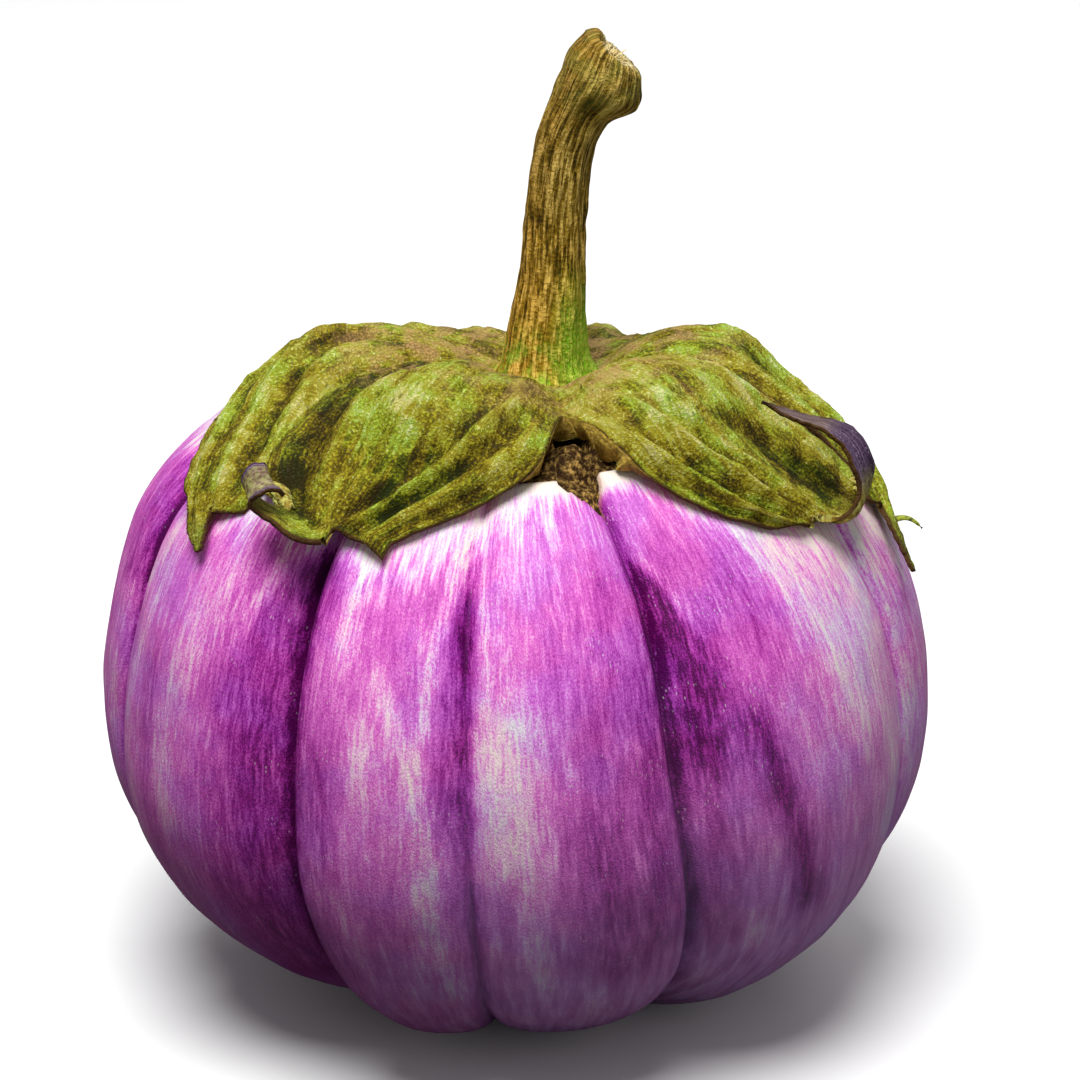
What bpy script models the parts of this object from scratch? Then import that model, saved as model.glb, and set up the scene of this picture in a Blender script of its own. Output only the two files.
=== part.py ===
"""A squat, ribbed purple eggplant as picked: the fruit, its leafy calyx and its cut stem.

It rests on the flattened undersides of its lobes, at z = 0, and the front is towards -Y.
An azimuth is given in degrees from the front and grows towards +X.
An arc is the distance from the middle of the crown, measured down over the fruit's plain outline.
"""

import math
from collections import namedtuple

import bmesh
import bpy
from mathutils import Matrix, Vector

MM = 0.001

# The fruit's plain outline, without its grooves
EQUATOR_RADIUS = 59.5 * MM
EQUATOR_HEIGHT = 43.0 * MM
RISE = 50.0 * MM
FALL = 44.0 * MM
UPPER_BOXINESS = 3.1
LOWER_BOXINESS = 2.5
CROWN_DIMPLE = 5.0 * MM
CROWN_DIMPLE_WIDTH = 16.0 * MM
BASE_DIMPLE = 4.5 * MM
BASE_DIMPLE_WIDTH = 8.0 * MM
CROWN_SHIFT = 4.6 * MM  # the stem stands this far to the right of the fruit's middle
LEFT_SHOULDER = 3.0 * MM  # how much the left shoulder stands out
RIGHT_SHOULDER = 1.6 * MM  # how much the right shoulder stands out, over a narrower stretch
BACK_SHOULDER = 5.0 * MM  # how much the back shoulder falls away
SHOULDER_END = (0.9, 1.4)  # the shoulder's forms die away between these polars
CROWN_SHIFT_END = 1.1  # from this polar down the fruit isn't shifted
FRUIT_ROWS = 34

# Under the calyx the skin ends in a lip, and the corky crown lies lower.
# A wedge of cork runs out between two lobes.
LIP_ARC = 37.0 * MM
CORK_DEPTH = 1.6 * MM
CORK_GROOVE = 3  # the groove whose top is the wedge
CORK_WEDGE_DEPTH = 1.3 * MM
CORK_WEDGE_WIDTH = 0.35  # as a share of half a lobe
CORK_WEDGE_LENGTH = 0.2  # in radians of polar
LIP_STEEPNESS = 0.05  # in radians of polar
CORK_WEDGE_EDGE = 0.1  # how softly the wedge's edges rise, as a share of half a lobe

# The grooves deepen, and the lobes swell, from the first polar to the second. Both close towards the base.
GROOVE_START = (0.25, 1.15)
SWELL_START = (0.8, 1.4)
LOW_SWELL_START = (1.7, 2.3)
BASE_CLOSING = 0.6  # in radians of polar
STEEP_FLANK_POWER = 2.4
GENTLE_FLANK_POWER = 1.9
COLUMN_CROWDING = 0.6  # 0 spaces a lobe's columns evenly and 1 crowds them at its grooves

# A groove runs from crown to base. Its azimuth is the one at the equator, and it leans by so many degrees
# from crown to base. A flank is 0 where the lobe rises steeply from the groove and 1 where it rises gently.
Groove = namedtuple("Groove", "azimuth lean depth flank_before flank_after")
GROOVES = (
    Groove(-74.0, -8.0, 4.0 * MM, 0.3, 0.2),
    Groove(-32.0, 5.0, 5.5 * MM, 0.7, 0.0),
    Groove(-5.5, 5.0, 2.2 * MM, 0.2, 0.4),
    Groove(24.5, 29.0, 4.6 * MM, 0.0, 0.8),
    Groove(71.0, 20.0, 1.6 * MM, 0.5, 0.4),
    Groove(99.0, 8.0, 4.2 * MM, 0.4, 0.2),
    Groove(134.0, 0.0, 3.2 * MM, 0.2, 0.5),
    Groove(163.0, -6.0, 4.6 * MM, 0.6, 0.1),
    Groove(198.0, 5.0, 3.0 * MM, 0.3, 0.3),
    Groove(228.0, 6.0, 4.4 * MM, 0.1, 0.6),
    Groove(262.0, 0.0, 3.4 * MM, 0.4, 0.2),
)

# The lobe after each groove swells past the plain outline round the equator, and by more or less low down.
Lobe = namedtuple("Lobe", "columns swell low_swell")
LOBES = (
    Lobe(9, -0.2 * MM, -1.4 * MM),
    Lobe(7, 1.2 * MM, -0.9 * MM),
    Lobe(8, 0.8 * MM, -0.9 * MM),
    Lobe(11, 1.0 * MM, 0.2 * MM),
    Lobe(8, 0.4 * MM, 0.0 * MM),
    Lobe(8, 1.2 * MM, 0.0 * MM),
    Lobe(7, 0.8 * MM, 0.0 * MM),
    Lobe(8, 1.2 * MM, 0.0 * MM),
    Lobe(7, 0.8 * MM, 0.0 * MM),
    Lobe(8, 1.0 * MM, 0.0 * MM),
    Lobe(8, -0.6 * MM, -1.4 * MM),
)

# The calyx: six sepals, joined out to one arc and free beyond it
FUSED_ARC = 26.5 * MM
SEAT_HEIGHT = 91.5 * MM
SEAT_ARC = 7.0 * MM  # the stem stands on a level seat out to this arc
SEAT_BLEND = 7.0 * MM
MIDDLE_THICKNESS = 2.6 * MM
BLADE_THICKNESS = 1.0 * MM
TIP_THICKNESS = 0.7 * MM
THINNING = (8.0 * MM, 34.0 * MM)  # the calyx thins between these arcs
SKIN_GAP = 0.7 * MM
RIB_HEIGHT = 0.7 * MM
RIB_START = (12.0 * MM, 22.0 * MM)  # the ribs rise between these arcs
LIFT_LENGTH = 6.0 * MM  # a margin lifts over this length once the sepals part
SEPAL_COLUMNS = 12
FUSED_ROWS = 8
BLADE_ROWS = 9
TIP_COLUMNS = 6
TIP_ROWS = 7
TIP_HINGE_ROWS = 3  # rows in which the tip leaves the shape of the blade's end

# A station of a sepal gives, at one arc, the azimuth of its midrib and how far the blade reaches before and
# after it. A hump is a blister over the midrib. Corner cuts say how much sooner the two margins end than the
# midrib. The tip grows from the blade's end, its middle so many columns past the midrib. It follows a path
# of points (outward, sideways, away from the skin) with half the width at each. All are in millimetres.
Station = namedtuple("Station", "arc azimuth before after")
Hump = namedtuple("Hump", "height arc spread side")
Sepal = namedtuple(
    "Sepal", "gap_before gap_after midrib stations hump margin_lift corner_cuts tip_column tip"
)
SEPALS = (
    Sepal(
        -62.0, 9.0, -27.0,
        (Station(37, -28.0, 18.0, 19.0), Station(42, -29.0, 16.0, 15.0), Station(46, -30.0, 12.5, 11.0),
         Station(48.5, -30.5, 9.0, 8.2)),
        Hump(6.0, 27, 11, -0.1), (2.2, 1.2), (2.0, -2.6), -3,
        ((0, 0, 0, 4.5), (1.3, -0.3, 1.0, 3.9), (1.5, -1.2, 3.4, 3.0), (0.4, -2.6, 5.4, 2.2),
         (-1.1, -4.4, 6.6, 1.8), (-2.6, -6.3, 7.2, 0.9)),
    ),
    Sepal(
        9.0, 75.0, 42.0,
        (Station(36.5, 43.0, 12.5, 20.5), Station(43, 48.0, 11.5, 19.5), Station(48, 54.0, 10.5, 16.0),
         Station(50.5, 57.0, 8.5, 12.5)),
        Hump(4.0, 25, 12, 0.1), (1.8, 0.3), (1.5, 3.0), 1,
        ((0, 0, 0, 5.2), (3.0, -0.9, 1.3, 4.4), (2.9, -1.1, 5.0, 3.7), (0.2, -0.4, 8.2, 3.0),
         (-3.6, 0.9, 9.4, 2.5), (-7.4, 2.4, 8.6, 2.0), (-11.0, 3.9, 7.0, 1.4), (-14.6, 5.0, 5.2, 0.4)),
    ),
    Sepal(
        75.0, 125.0, 100.0,
        (Station(37, 97.0, 12.0, 12.5), Station(45, 92.0, 10.3, 10.5), Station(52, 86.5, 8.0, 8.0),
         Station(58, 82.0, 4.8, 5.5)),
        Hump(4.0, 25, 13, 0.0), (0.3, 0.3), (2.5, 2.5), 0,
        ((0, 0, 0, 2.6), (3.5, -1.5, 0.0, 2.0), (7.0, -3.0, -0.4, 1.2), (9.5, -4.0, -0.6, 0.5)),
    ),
    Sepal(
        125.0, 187.0, 156.0,
        (Station(37, 156.0, 15.0, 15.0), Station(44, 155.0, 12.5, 12.0), Station(50, 153.0, 8.0, 8.0),
         Station(53, 152.0, 4.5, 4.5)),
        Hump(2.0, 22, 11, 0.1), (0.3, 0.3), (3.0, 3.0), 0,
        ((0, 0, 0, 2.3), (3.0, 0.5, 0.5, 1.9), (6.5, 1.5, 2.5, 1.4), (8.5, 2.5, 6.0, 0.5)),
    ),
    Sepal(
        187.0, 248.0, 218.0,
        (Station(37, 217.0, 15.0, 15.0), Station(43, 215.0, 12.5, 12.5), Station(48, 213.0, 8.5, 8.5),
         Station(51, 212.0, 4.5, 4.5)),
        Hump(2.4, 22, 11, -0.1), (0.3, 0.3), (3.0, 3.0), 0,
        ((0, 0, 0, 2.3), (3.0, -1.0, 0.4, 1.9), (5.5, -3.5, 2.0, 1.4), (6.5, -7.0, 4.0, 0.5)),
    ),
    Sepal(
        248.0, 298.0, 273.0,
        (Station(36, 282.5, 11.5, 13.5), Station(42, 292.0, 9.0, 12.0), Station(48, 299.0, 6.8, 9.0),
         Station(52, 302.0, 4.8, 5.6)),
        Hump(5.2, 25, 13, 0.0), (0.3, -0.2), (2.0, 2.5), 0,
        ((0, 0, 0, 2.5), (2.5, 1.0, -0.1, 1.9), (4.5, 1.8, -0.3, 1.2), (6.5, 2.4, -0.5, 0.5)),
    ),
)

# The stem: height above the seat, shift to the right of the crown's middle, tilt to the right and radius.
# Its lengths are in millimetres.
Ring = namedtuple("Ring", "height shift tilt radius")
STEM_GAP = 0.3 * MM
STEM_RINGS = (
    Ring(0.0, 0.1, 0.0, 6.6),
    Ring(2.6, 0.1, 0.0, 6.1),
    Ring(6.0, 0.25, 2.0, 5.6),
    Ring(10.5, 0.6, 4.0, 5.0),
    Ring(16.0, 1.1, 4.0, 4.5),
    Ring(21.5, 1.4, 4.0, 4.3),
    Ring(27.0, 1.8, 6.0, 4.2),
    Ring(31.5, 2.4, 11.0, 4.1),
    Ring(35.5, 3.4, 18.0, 4.25),
    Ring(38.9, 5.0, 25.0, 4.8),
    Ring(42.9, 7.3, 32.0, 5.6),
    Ring(46.0, 8.6, 39.5, 4.8),
)
STEM_RIDGES = 7
STEM_RIDGE_HEIGHT = 0.03  # as a share of the radius
FOOT_HEIGHT = 10.0
FOOT_LOBES = 6
FOOT_LOBE_HEIGHT = 0.05  # as a share of the radius
HEEL_START = (34.0, 42.0)  # the heel under the cut stands out between these heights
HEEL_REACH = 0.9
CUT_LIP = 0.5
CUT_HOLLOW = 0.8
STEM_COLUMNS = 28
STEM_ROWS = 28
FOOT_SHARE = 0.06  # the first share of the rows makes the underside
CUT_SHARE = 0.90  # and from here on they make the cut face


def mix(first, second, share):
    return first + (second - first) * share


def ramp(low, high, value):
    """0 below low, 1 above high, and a smooth step between."""
    share = min(1.0, max(0.0, (value - low) / (high - low)))
    return share * share * (3.0 - 2.0 * share)


def follow(stations, where):
    """Smooth curve through stations, each a row of numbers that starts with its place.

    Gives the other numbers of the row at the place where.
    """
    last = len(stations) - 1
    index = 0
    while index < last - 1 and where > stations[index + 1][0]:
        index += 1
    start, end = stations[index], stations[index + 1]
    before, after = stations[max(0, index - 1)], stations[min(last, index + 2)]
    length = end[0] - start[0]
    share = min(1.0, max(0.0, (where - start[0]) / length))
    values = []
    for item in range(1, len(start)):
        slope_in = (end[item] - before[item]) / (end[0] - before[0])
        slope_out = (after[item] - start[item]) / (after[0] - start[0])
        cubic = share * share * (3.0 - 2.0 * share)
        value = mix(start[item], end[item], cubic)
        value += length * share * (1.0 - share) ** 2 * slope_in
        value -= length * share * share * (1.0 - share) * slope_out
        values.append(value)
    return values


def outline(polar):
    """Radius and height of the plain fruit, with polar running from 0 at the crown to pi at the base."""
    sine = max(0.0, math.sin(polar))
    radius = EQUATOR_RADIUS * sine
    if polar < math.pi / 2:
        height = RISE * math.sqrt(max(0.0, 1.0 - sine**UPPER_BOXINESS))
        height -= CROWN_DIMPLE * math.exp(-((radius / CROWN_DIMPLE_WIDTH) ** 2))
    else:
        height = -FALL * math.sqrt(max(0.0, 1.0 - sine**LOWER_BOXINESS))
        height += BASE_DIMPLE * math.exp(-((radius / BASE_DIMPLE_WIDTH) ** 2))
    return radius, EQUATOR_HEIGHT + height


def outline_normal(polar):
    """Outward direction of the outline, as its radial and upward shares."""
    step = 0.01
    low, high = outline(max(0.0, polar - step)), outline(min(math.pi, polar + step))
    along = Vector((high[0] - low[0], high[1] - low[1])).normalized()
    return -along.y, along.x


def shoulder(polar, azimuth):
    """How far the shoulder stands off a plain round outline."""
    turn = math.radians(azimuth)
    left = LEFT_SHOULDER * max(0.0, -math.sin(turn)) ** 2 * ramp(0.35, 0.8, polar)
    right = RIGHT_SHOULDER * max(0.0, math.sin(turn)) ** 6 * ramp(0.5, 0.9, polar)
    back = BACK_SHOULDER * (0.5 - 0.5 * math.cos(turn)) ** 2 * ramp(0.1, 0.5, polar)
    return (left + right - back) * (1.0 - ramp(*SHOULDER_END, polar))


def place(polar, azimuth, offset):
    """Point at an offset from the plain outline. The crown's middle lies to the right of the fruit's."""
    radius, height = outline(polar)
    outward, upward = outline_normal(polar)
    offset += shoulder(polar, azimuth)
    radius += outward * offset * ramp(0.0, 0.1, polar) * ramp(0.0, 0.1, math.pi - polar)
    height += upward * offset
    turn = math.radians(azimuth)
    shift = CROWN_SHIFT * (1.0 - ramp(0.0, CROWN_SHIFT_END, polar))
    return Vector((radius * math.sin(turn) + shift, -radius * math.cos(turn), height))


def groove_azimuth(index, polar):
    """Azimuth of a groove. An index past the last one goes on round the fruit."""
    turns, inside = divmod(index, len(GROOVES))
    groove = GROOVES[inside]
    return groove.azimuth + 360.0 * turns + groove.lean * (polar / math.pi - 0.5)


def arc_of(polar, steps=60):
    """Distance from the crown's middle down over the plain outline."""
    length = 0.0
    last = outline(0.0)
    for step in range(1, steps + 1):
        here = outline(polar * step / steps)
        length += math.hypot(here[0] - last[0], here[1] - last[1])
        last = here
    return length


def make_arc_table():
    """Polar values at even steps, each with its arc."""
    return [(arc_of(0.02 * step), 0.02 * step) for step in range(90)]


ARC_TABLE = make_arc_table()


def polar_at(arc):
    """Polar value at an arc."""
    index = 0
    while index < len(ARC_TABLE) - 2 and ARC_TABLE[index + 1][0] < arc:
        index += 1
    low, high = ARC_TABLE[index], ARC_TABLE[index + 1]
    return mix(low[1], high[1], (arc - low[0]) / (high[0] - low[0]))


LIP_POLAR = polar_at(LIP_ARC)


def fruit_offset(index, across, polar):
    """How far the skin stands off the plain outline. Across runs from 0 to 1 over the lobe."""
    lobe = LOBES[index]
    side = 2.0 * across - 1.0
    if side < 0.0:
        groove = GROOVES[index]
        gentle = groove.flank_after
    else:
        groove = GROOVES[(index + 1) % len(GROOVES)]
        gentle = groove.flank_before
    edge = abs(side)
    steep_fall = 1.0 - math.sqrt(max(0.0, 1.0 - edge**STEEP_FLANK_POWER))
    gentle_fall = edge**GENTLE_FLANK_POWER
    closing = ramp(0.0, BASE_CLOSING, math.pi - polar)
    depth = groove.depth * ramp(*GROOVE_START, polar) * closing
    offset = -depth * mix(steep_fall, gentle_fall, gentle)
    swell = lobe.swell + lobe.low_swell * ramp(*LOW_SWELL_START, polar)
    crest = 1.0 - edge * edge
    offset += swell * ramp(*SWELL_START, polar) * closing * crest
    offset -= CORK_DEPTH * (1.0 - ramp(LIP_POLAR - LIP_STEEPNESS, LIP_POLAR, polar))
    if groove is GROOVES[CORK_GROOVE]:
        wide = CORK_WEDGE_WIDTH * (1.0 - ramp(LIP_POLAR, LIP_POLAR + CORK_WEDGE_LENGTH, polar))
        start = 0.92 - wide
        inside = ramp(start, start + CORK_WEDGE_EDGE, edge) * ramp(0.0, CORK_WEDGE_EDGE, wide)
        offset -= CORK_WEDGE_DEPTH * inside
    return offset


def fruit_point(lobe_place, polar):
    """Point of the skin. The whole part of lobe_place counts lobes and the rest goes across the lobe."""
    index = int(lobe_place) % len(LOBES)
    across = lobe_place - int(lobe_place)
    azimuth = mix(groove_azimuth(index, polar), groove_azimuth(index + 1, polar), across)
    point = place(polar, azimuth, fruit_offset(index, across, polar))
    point.z = max(0.0, point.z)
    return point


def lobe_places():
    """Places of the columns of points. They lie closer near the grooves."""
    places = []
    for index, lobe in enumerate(LOBES):
        for step in range(lobe.columns):
            share = step / lobe.columns
            eased = 0.5 - 0.5 * math.cos(math.pi * share)
            places.append(index + mix(share, eased, COLUMN_CROWDING))
    return places


def sphere_of(columns, rows, point_at):
    """A sphere of columns and rows of points, each moved to point_at(column, down).

    down is the point's share of the way from pole to pole.
    """
    shape = bmesh.new()
    bmesh.ops.create_uvsphere(shape, u_segments=columns, v_segments=rows, radius=1.0)
    for vertex in shape.verts:
        down = math.acos(max(-1.0, min(1.0, vertex.co.z))) / math.pi
        turn = math.atan2(vertex.co.y, vertex.co.x) / (2.0 * math.pi)
        vertex.co = point_at(round(turn * columns) % columns, down)
    bmesh.ops.recalc_face_normals(shape, faces=shape.faces)
    return shape


def make_fruit():
    places = lobe_places()

    def point_at(column, down):
        return fruit_point(places[column], down * math.pi)

    return finish(sphere_of(len(places), FRUIT_ROWS, point_at), "fruit")


def thickness_at(arc):
    """Thickness of the calyx at an arc."""
    return mix(MIDDLE_THICKNESS, BLADE_THICKNESS, ramp(*THINNING, arc))


def reach(sepal, arc, side):
    """Azimuth of the blade at side, which runs from -1 at its first margin over 0 at the midrib to 1."""
    fused_radius = outline(polar_at(FUSED_ARC))[0]
    first = Station(
        FUSED_ARC / MM,
        sepal.midrib,
        math.radians(sepal.midrib - sepal.gap_before) * fused_radius / MM,
        math.radians(sepal.gap_after - sepal.midrib) * fused_radius / MM,
    )
    if arc <= FUSED_ARC:
        gap = sepal.gap_before if side < 0.0 else sepal.gap_after
        return mix(sepal.midrib, gap, abs(side))
    azimuth, before, after = follow((first,) + sepal.stations, arc / MM)
    width = before if side < 0.0 else after
    return azimuth + math.degrees(side * width * MM / outline(polar_at(arc))[0])


def blade_height(sepal, arc, side):
    """Height of the upper face over the plain outline."""
    hump = sepal.hump
    rise = math.exp(-(((arc / MM - hump.arc) / hump.spread) ** 2))
    across = max(0.0, 1.0 - abs(side - hump.side * (1.0 - abs(side))) ** 2)
    height = SKIN_GAP + thickness_at(arc) + hump.height * MM * rise * across
    lift = sepal.margin_lift[0 if side < 0.0 else 1] * MM
    height += lift * side**2 * ramp(FUSED_ARC, FUSED_ARC + LIFT_LENGTH, arc)
    three_ribs = (0.5 + 0.5 * math.cos(3.0 * math.pi * side)) * (1.0 - side**4)
    return height + RIB_HEIGHT * ramp(*RIB_START, arc) * three_ribs


def blade_point(sepal, arc, side):
    polar = polar_at(arc)
    point = place(polar, reach(sepal, arc, side), blade_height(sepal, arc, side))
    point.z = mix(SEAT_HEIGHT, point.z, ramp(SEAT_ARC, SEAT_ARC + SEAT_BLEND, arc))
    return point


def blade_arc(sepal, share, side):
    """Arc of a blade's row, share running from 0 where the sepals part to 1 at the blade's end."""
    cut = sepal.corner_cuts[0 if side < 0.0 else 1] * MM
    return mix(FUSED_ARC, sepal.stations[-1].arc * MM - cut * side * side, share)


def tip_frames(sepal, steps):
    """Points of the tip's path with the direction across the blade and half its width at each."""
    middle = 2.0 * sepal.tip_column / SEPAL_COLUMNS
    hinge = blade_arc(sepal, 1.0, middle)
    start = blade_point(sepal, hinge, middle)
    outward = (start - blade_point(sepal, hinge - MM, middle)).normalized()
    across = blade_point(sepal, hinge, middle + 0.1) - blade_point(sepal, hinge, middle - 0.1)
    away = outward.cross(across.normalized()).normalized() * -1.0
    if away.dot(start - Vector((0.0, 0.0, EQUATOR_HEIGHT))) < 0.0:
        away.negate()
    across = (across - across.dot(outward) * outward).normalized()
    rows = [(float(number),) + row for number, row in enumerate(sepal.tip)]
    frames = []
    last = outward
    for step in range(steps + 1):
        out, side, up, half = follow(rows, (len(rows) - 1) * step / steps)
        basis = Matrix((outward, across, away)).transposed()
        point = start + basis @ Vector((out, side, up)) * MM
        if frames:
            ahead = (point - frames[-1][0]).normalized()
            across_now = last.rotation_difference(ahead) @ frames[-1][1]
            across_now = (across_now - across_now.dot(ahead) * ahead).normalized()
            last = ahead
            frames.append((point, across_now, half * MM))
        else:
            frames.append((point, across, half * MM))
    return frames


def blade_rows(sepal):
    """Rows of points of a blade's upper face, each with the thickness there."""
    sides = [2.0 * step / SEPAL_COLUMNS - 1.0 for step in range(SEPAL_COLUMNS + 1)]
    rows = []
    for step in range(FUSED_ROWS):
        arc = FUSED_ARC * step / FUSED_ROWS
        rows.append(([blade_point(sepal, arc, side) for side in sides], thickness_at(arc)))
    for step in range(BLADE_ROWS + 1):
        share = step / BLADE_ROWS
        row = [blade_point(sepal, blade_arc(sepal, share, side), side) for side in sides]
        rows.append((row, thickness_at(blade_arc(sepal, share, 0.0))))
    return rows


def tip_rows(sepal, end):
    """Rows of points of a tip's upper face. The first is the middle of the blade's end row."""
    first = SEPAL_COLUMNS // 2 + sepal.tip_column - TIP_COLUMNS // 2
    edge = end[first:first + TIP_COLUMNS + 1]
    sides = [2.0 * step / TIP_COLUMNS - 1.0 for step in range(TIP_COLUMNS + 1)]
    frames = tip_frames(sepal, TIP_ROWS)
    centre, across, half = frames[0]
    rows = [(edge, BLADE_THICKNESS)]
    for number, (point, across_now, half_now) in enumerate(frames[1:], 1):
        hold = 1.0 - ramp(0.0, TIP_HINGE_ROWS, number)
        row = []
        for side, kept in zip(sides, edge, strict=True):
            straight = point + across_now * side * half_now
            row.append(straight + (kept - centre - across * side * half) * hold)
        rows.append((row, mix(BLADE_THICKNESS, TIP_THICKNESS, number / TIP_ROWS)))
    return rows


def add_grid(shape, weights, columns, rows):
    """A grid with its points moved to the rows of points. Its weights are the thickness over the middle's."""
    made = bmesh.ops.create_grid(
        shape, x_segments=columns, y_segments=len(rows) - 1, size=1.0, matrix=Matrix.Identity(4)
    )
    for vertex in made["verts"]:
        column = round((vertex.co.x + 1.0) / 2.0 * columns)
        row = round((vertex.co.y + 1.0) / 2.0 * (len(rows) - 1))
        points, thickness = rows[row]
        vertex.co = points[column]
        vertex[weights][0] = thickness / MIDDLE_THICKNESS


def make_calyx():
    shape = bmesh.new()
    weights = shape.verts.layers.deform.verify()
    for sepal in SEPALS:
        blade = blade_rows(sepal)
        add_grid(shape, weights, SEPAL_COLUMNS, blade)
        add_grid(shape, weights, TIP_COLUMNS, tip_rows(sepal, blade[-1][0]))
    bmesh.ops.remove_doubles(shape, verts=shape.verts, dist=0.01 * MM)
    bmesh.ops.triangulate(shape, faces=shape.faces)
    bmesh.ops.reverse_faces(shape, faces=shape.faces)
    calyx = finish(shape, "calyx")
    calyx.vertex_groups.new(name="flesh")
    shell = calyx.modifiers.new("thickness", "SOLIDIFY")
    shell.thickness = MIDDLE_THICKNESS
    shell.offset = -1.0
    shell.vertex_group = "flesh"
    return calyx


def stem_point(column, down):
    """Point of the stem's surface. Down is 0 at the middle of its foot and 1 at the middle of the cut."""
    turn = 2.0 * math.pi * column / STEM_COLUMNS
    top = STEM_RINGS[-1].height
    level = top * min(1.0, max(0.0, (down - FOOT_SHARE) / (CUT_SHARE - FOOT_SHARE)))
    shift, tilt, radius = follow(STEM_RINGS, level)
    ridges = STEM_RIDGE_HEIGHT * math.cos(STEM_RIDGES * turn)
    foot_lobes = FOOT_LOBE_HEIGHT * (1.0 - ramp(0.0, FOOT_HEIGHT, level)) * math.cos(FOOT_LOBES * turn)
    radius *= 1.0 + ridges + foot_lobes
    radius += HEEL_REACH * ramp(*HEEL_START, level) * max(0.0, math.cos(turn)) ** 2
    lift = 0.0
    if down < FOOT_SHARE:
        radius *= down / FOOT_SHARE
    if down > CUT_SHARE:
        inward = (down - CUT_SHARE) / (1.0 - CUT_SHARE)
        radius *= 1.0 - inward
        lip = CUT_LIP * math.sin(math.pi * min(1.0, 2.0 * inward))
        lift = lip - CUT_HOLLOW * ramp(0.3, 1.0, inward)
    lean = math.radians(tilt)
    across = Vector((math.cos(lean), 0.0, -math.sin(lean)))
    ahead = Vector((math.sin(lean), 0.0, math.cos(lean)))
    middle = Vector((shift, radius * math.sin(turn), level))
    point = middle + across * radius * math.cos(turn) + ahead * lift
    return point * MM + Vector((CROWN_SHIFT, 0.0, SEAT_HEIGHT + STEM_GAP))


def make_stem():
    shape = sphere_of(STEM_COLUMNS, STEM_ROWS, stem_point)
    return finish(shape, "stem")


def finish(shape, name):
    mesh = bpy.data.meshes.new(name)
    shape.to_mesh(mesh)
    shape.free()
    mesh.shade_smooth()
    return bpy.data.objects.new(name, mesh)


def paint(made, colour, roughness):
    material = bpy.data.materials.new(made.name + " skin")
    material.use_nodes = True
    shader = material.node_tree.nodes["Principled BSDF"]
    shader.inputs["Base Color"].default_value = (*colour, 1.0)
    shader.inputs["Roughness"].default_value = roughness
    shader.inputs["Metallic"].default_value = 0.0
    made.data.materials.append(material)


def stand_over_origin(fruit, others):
    """Moves all pieces alike until the middle of the fruit, the widest of them, is over the origin."""
    across = [vertex.co.x for vertex in fruit.data.vertices]
    along = [vertex.co.y for vertex in fruit.data.vertices]
    shift = Vector((-0.5 * (min(across) + max(across)), -0.5 * (min(along) + max(along)), 0.0))
    for made in (fruit, *others):
        made.data.transform(Matrix.Translation(shift))


def main():
    for old in list(bpy.data.objects):
        bpy.data.objects.remove(old)
    collection = bpy.data.collections.new("eggplant")
    bpy.context.scene.collection.children.link(collection)
    fruit, calyx, stem = make_fruit(), make_calyx(), make_stem()
    stand_over_origin(fruit, (calyx, stem))
    paint(fruit, (0.32, 0.05, 0.34), 0.35)
    paint(calyx, (0.16, 0.19, 0.04), 0.6)
    paint(stem, (0.14, 0.12, 0.04), 0.65)
    for made in (fruit, calyx, stem):
        collection.objects.link(made)


main()
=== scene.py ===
import math
import random
from collections import namedtuple

import bmesh
import bpy
import numpy as np
from mathutils import Matrix, Vector, noise


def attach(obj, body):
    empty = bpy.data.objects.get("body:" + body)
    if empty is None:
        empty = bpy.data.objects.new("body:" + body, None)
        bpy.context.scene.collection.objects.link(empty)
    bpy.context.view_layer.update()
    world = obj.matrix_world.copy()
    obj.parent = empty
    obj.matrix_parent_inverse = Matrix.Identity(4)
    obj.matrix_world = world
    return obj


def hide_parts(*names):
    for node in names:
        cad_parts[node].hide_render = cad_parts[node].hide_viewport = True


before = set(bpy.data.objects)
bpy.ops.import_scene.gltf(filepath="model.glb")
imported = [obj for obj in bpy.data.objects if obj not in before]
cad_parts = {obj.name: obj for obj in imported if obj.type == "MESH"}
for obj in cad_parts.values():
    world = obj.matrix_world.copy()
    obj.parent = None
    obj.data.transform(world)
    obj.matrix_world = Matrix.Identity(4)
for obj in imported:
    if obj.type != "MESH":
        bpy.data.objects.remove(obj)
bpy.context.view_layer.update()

mm = 0.001

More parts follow.
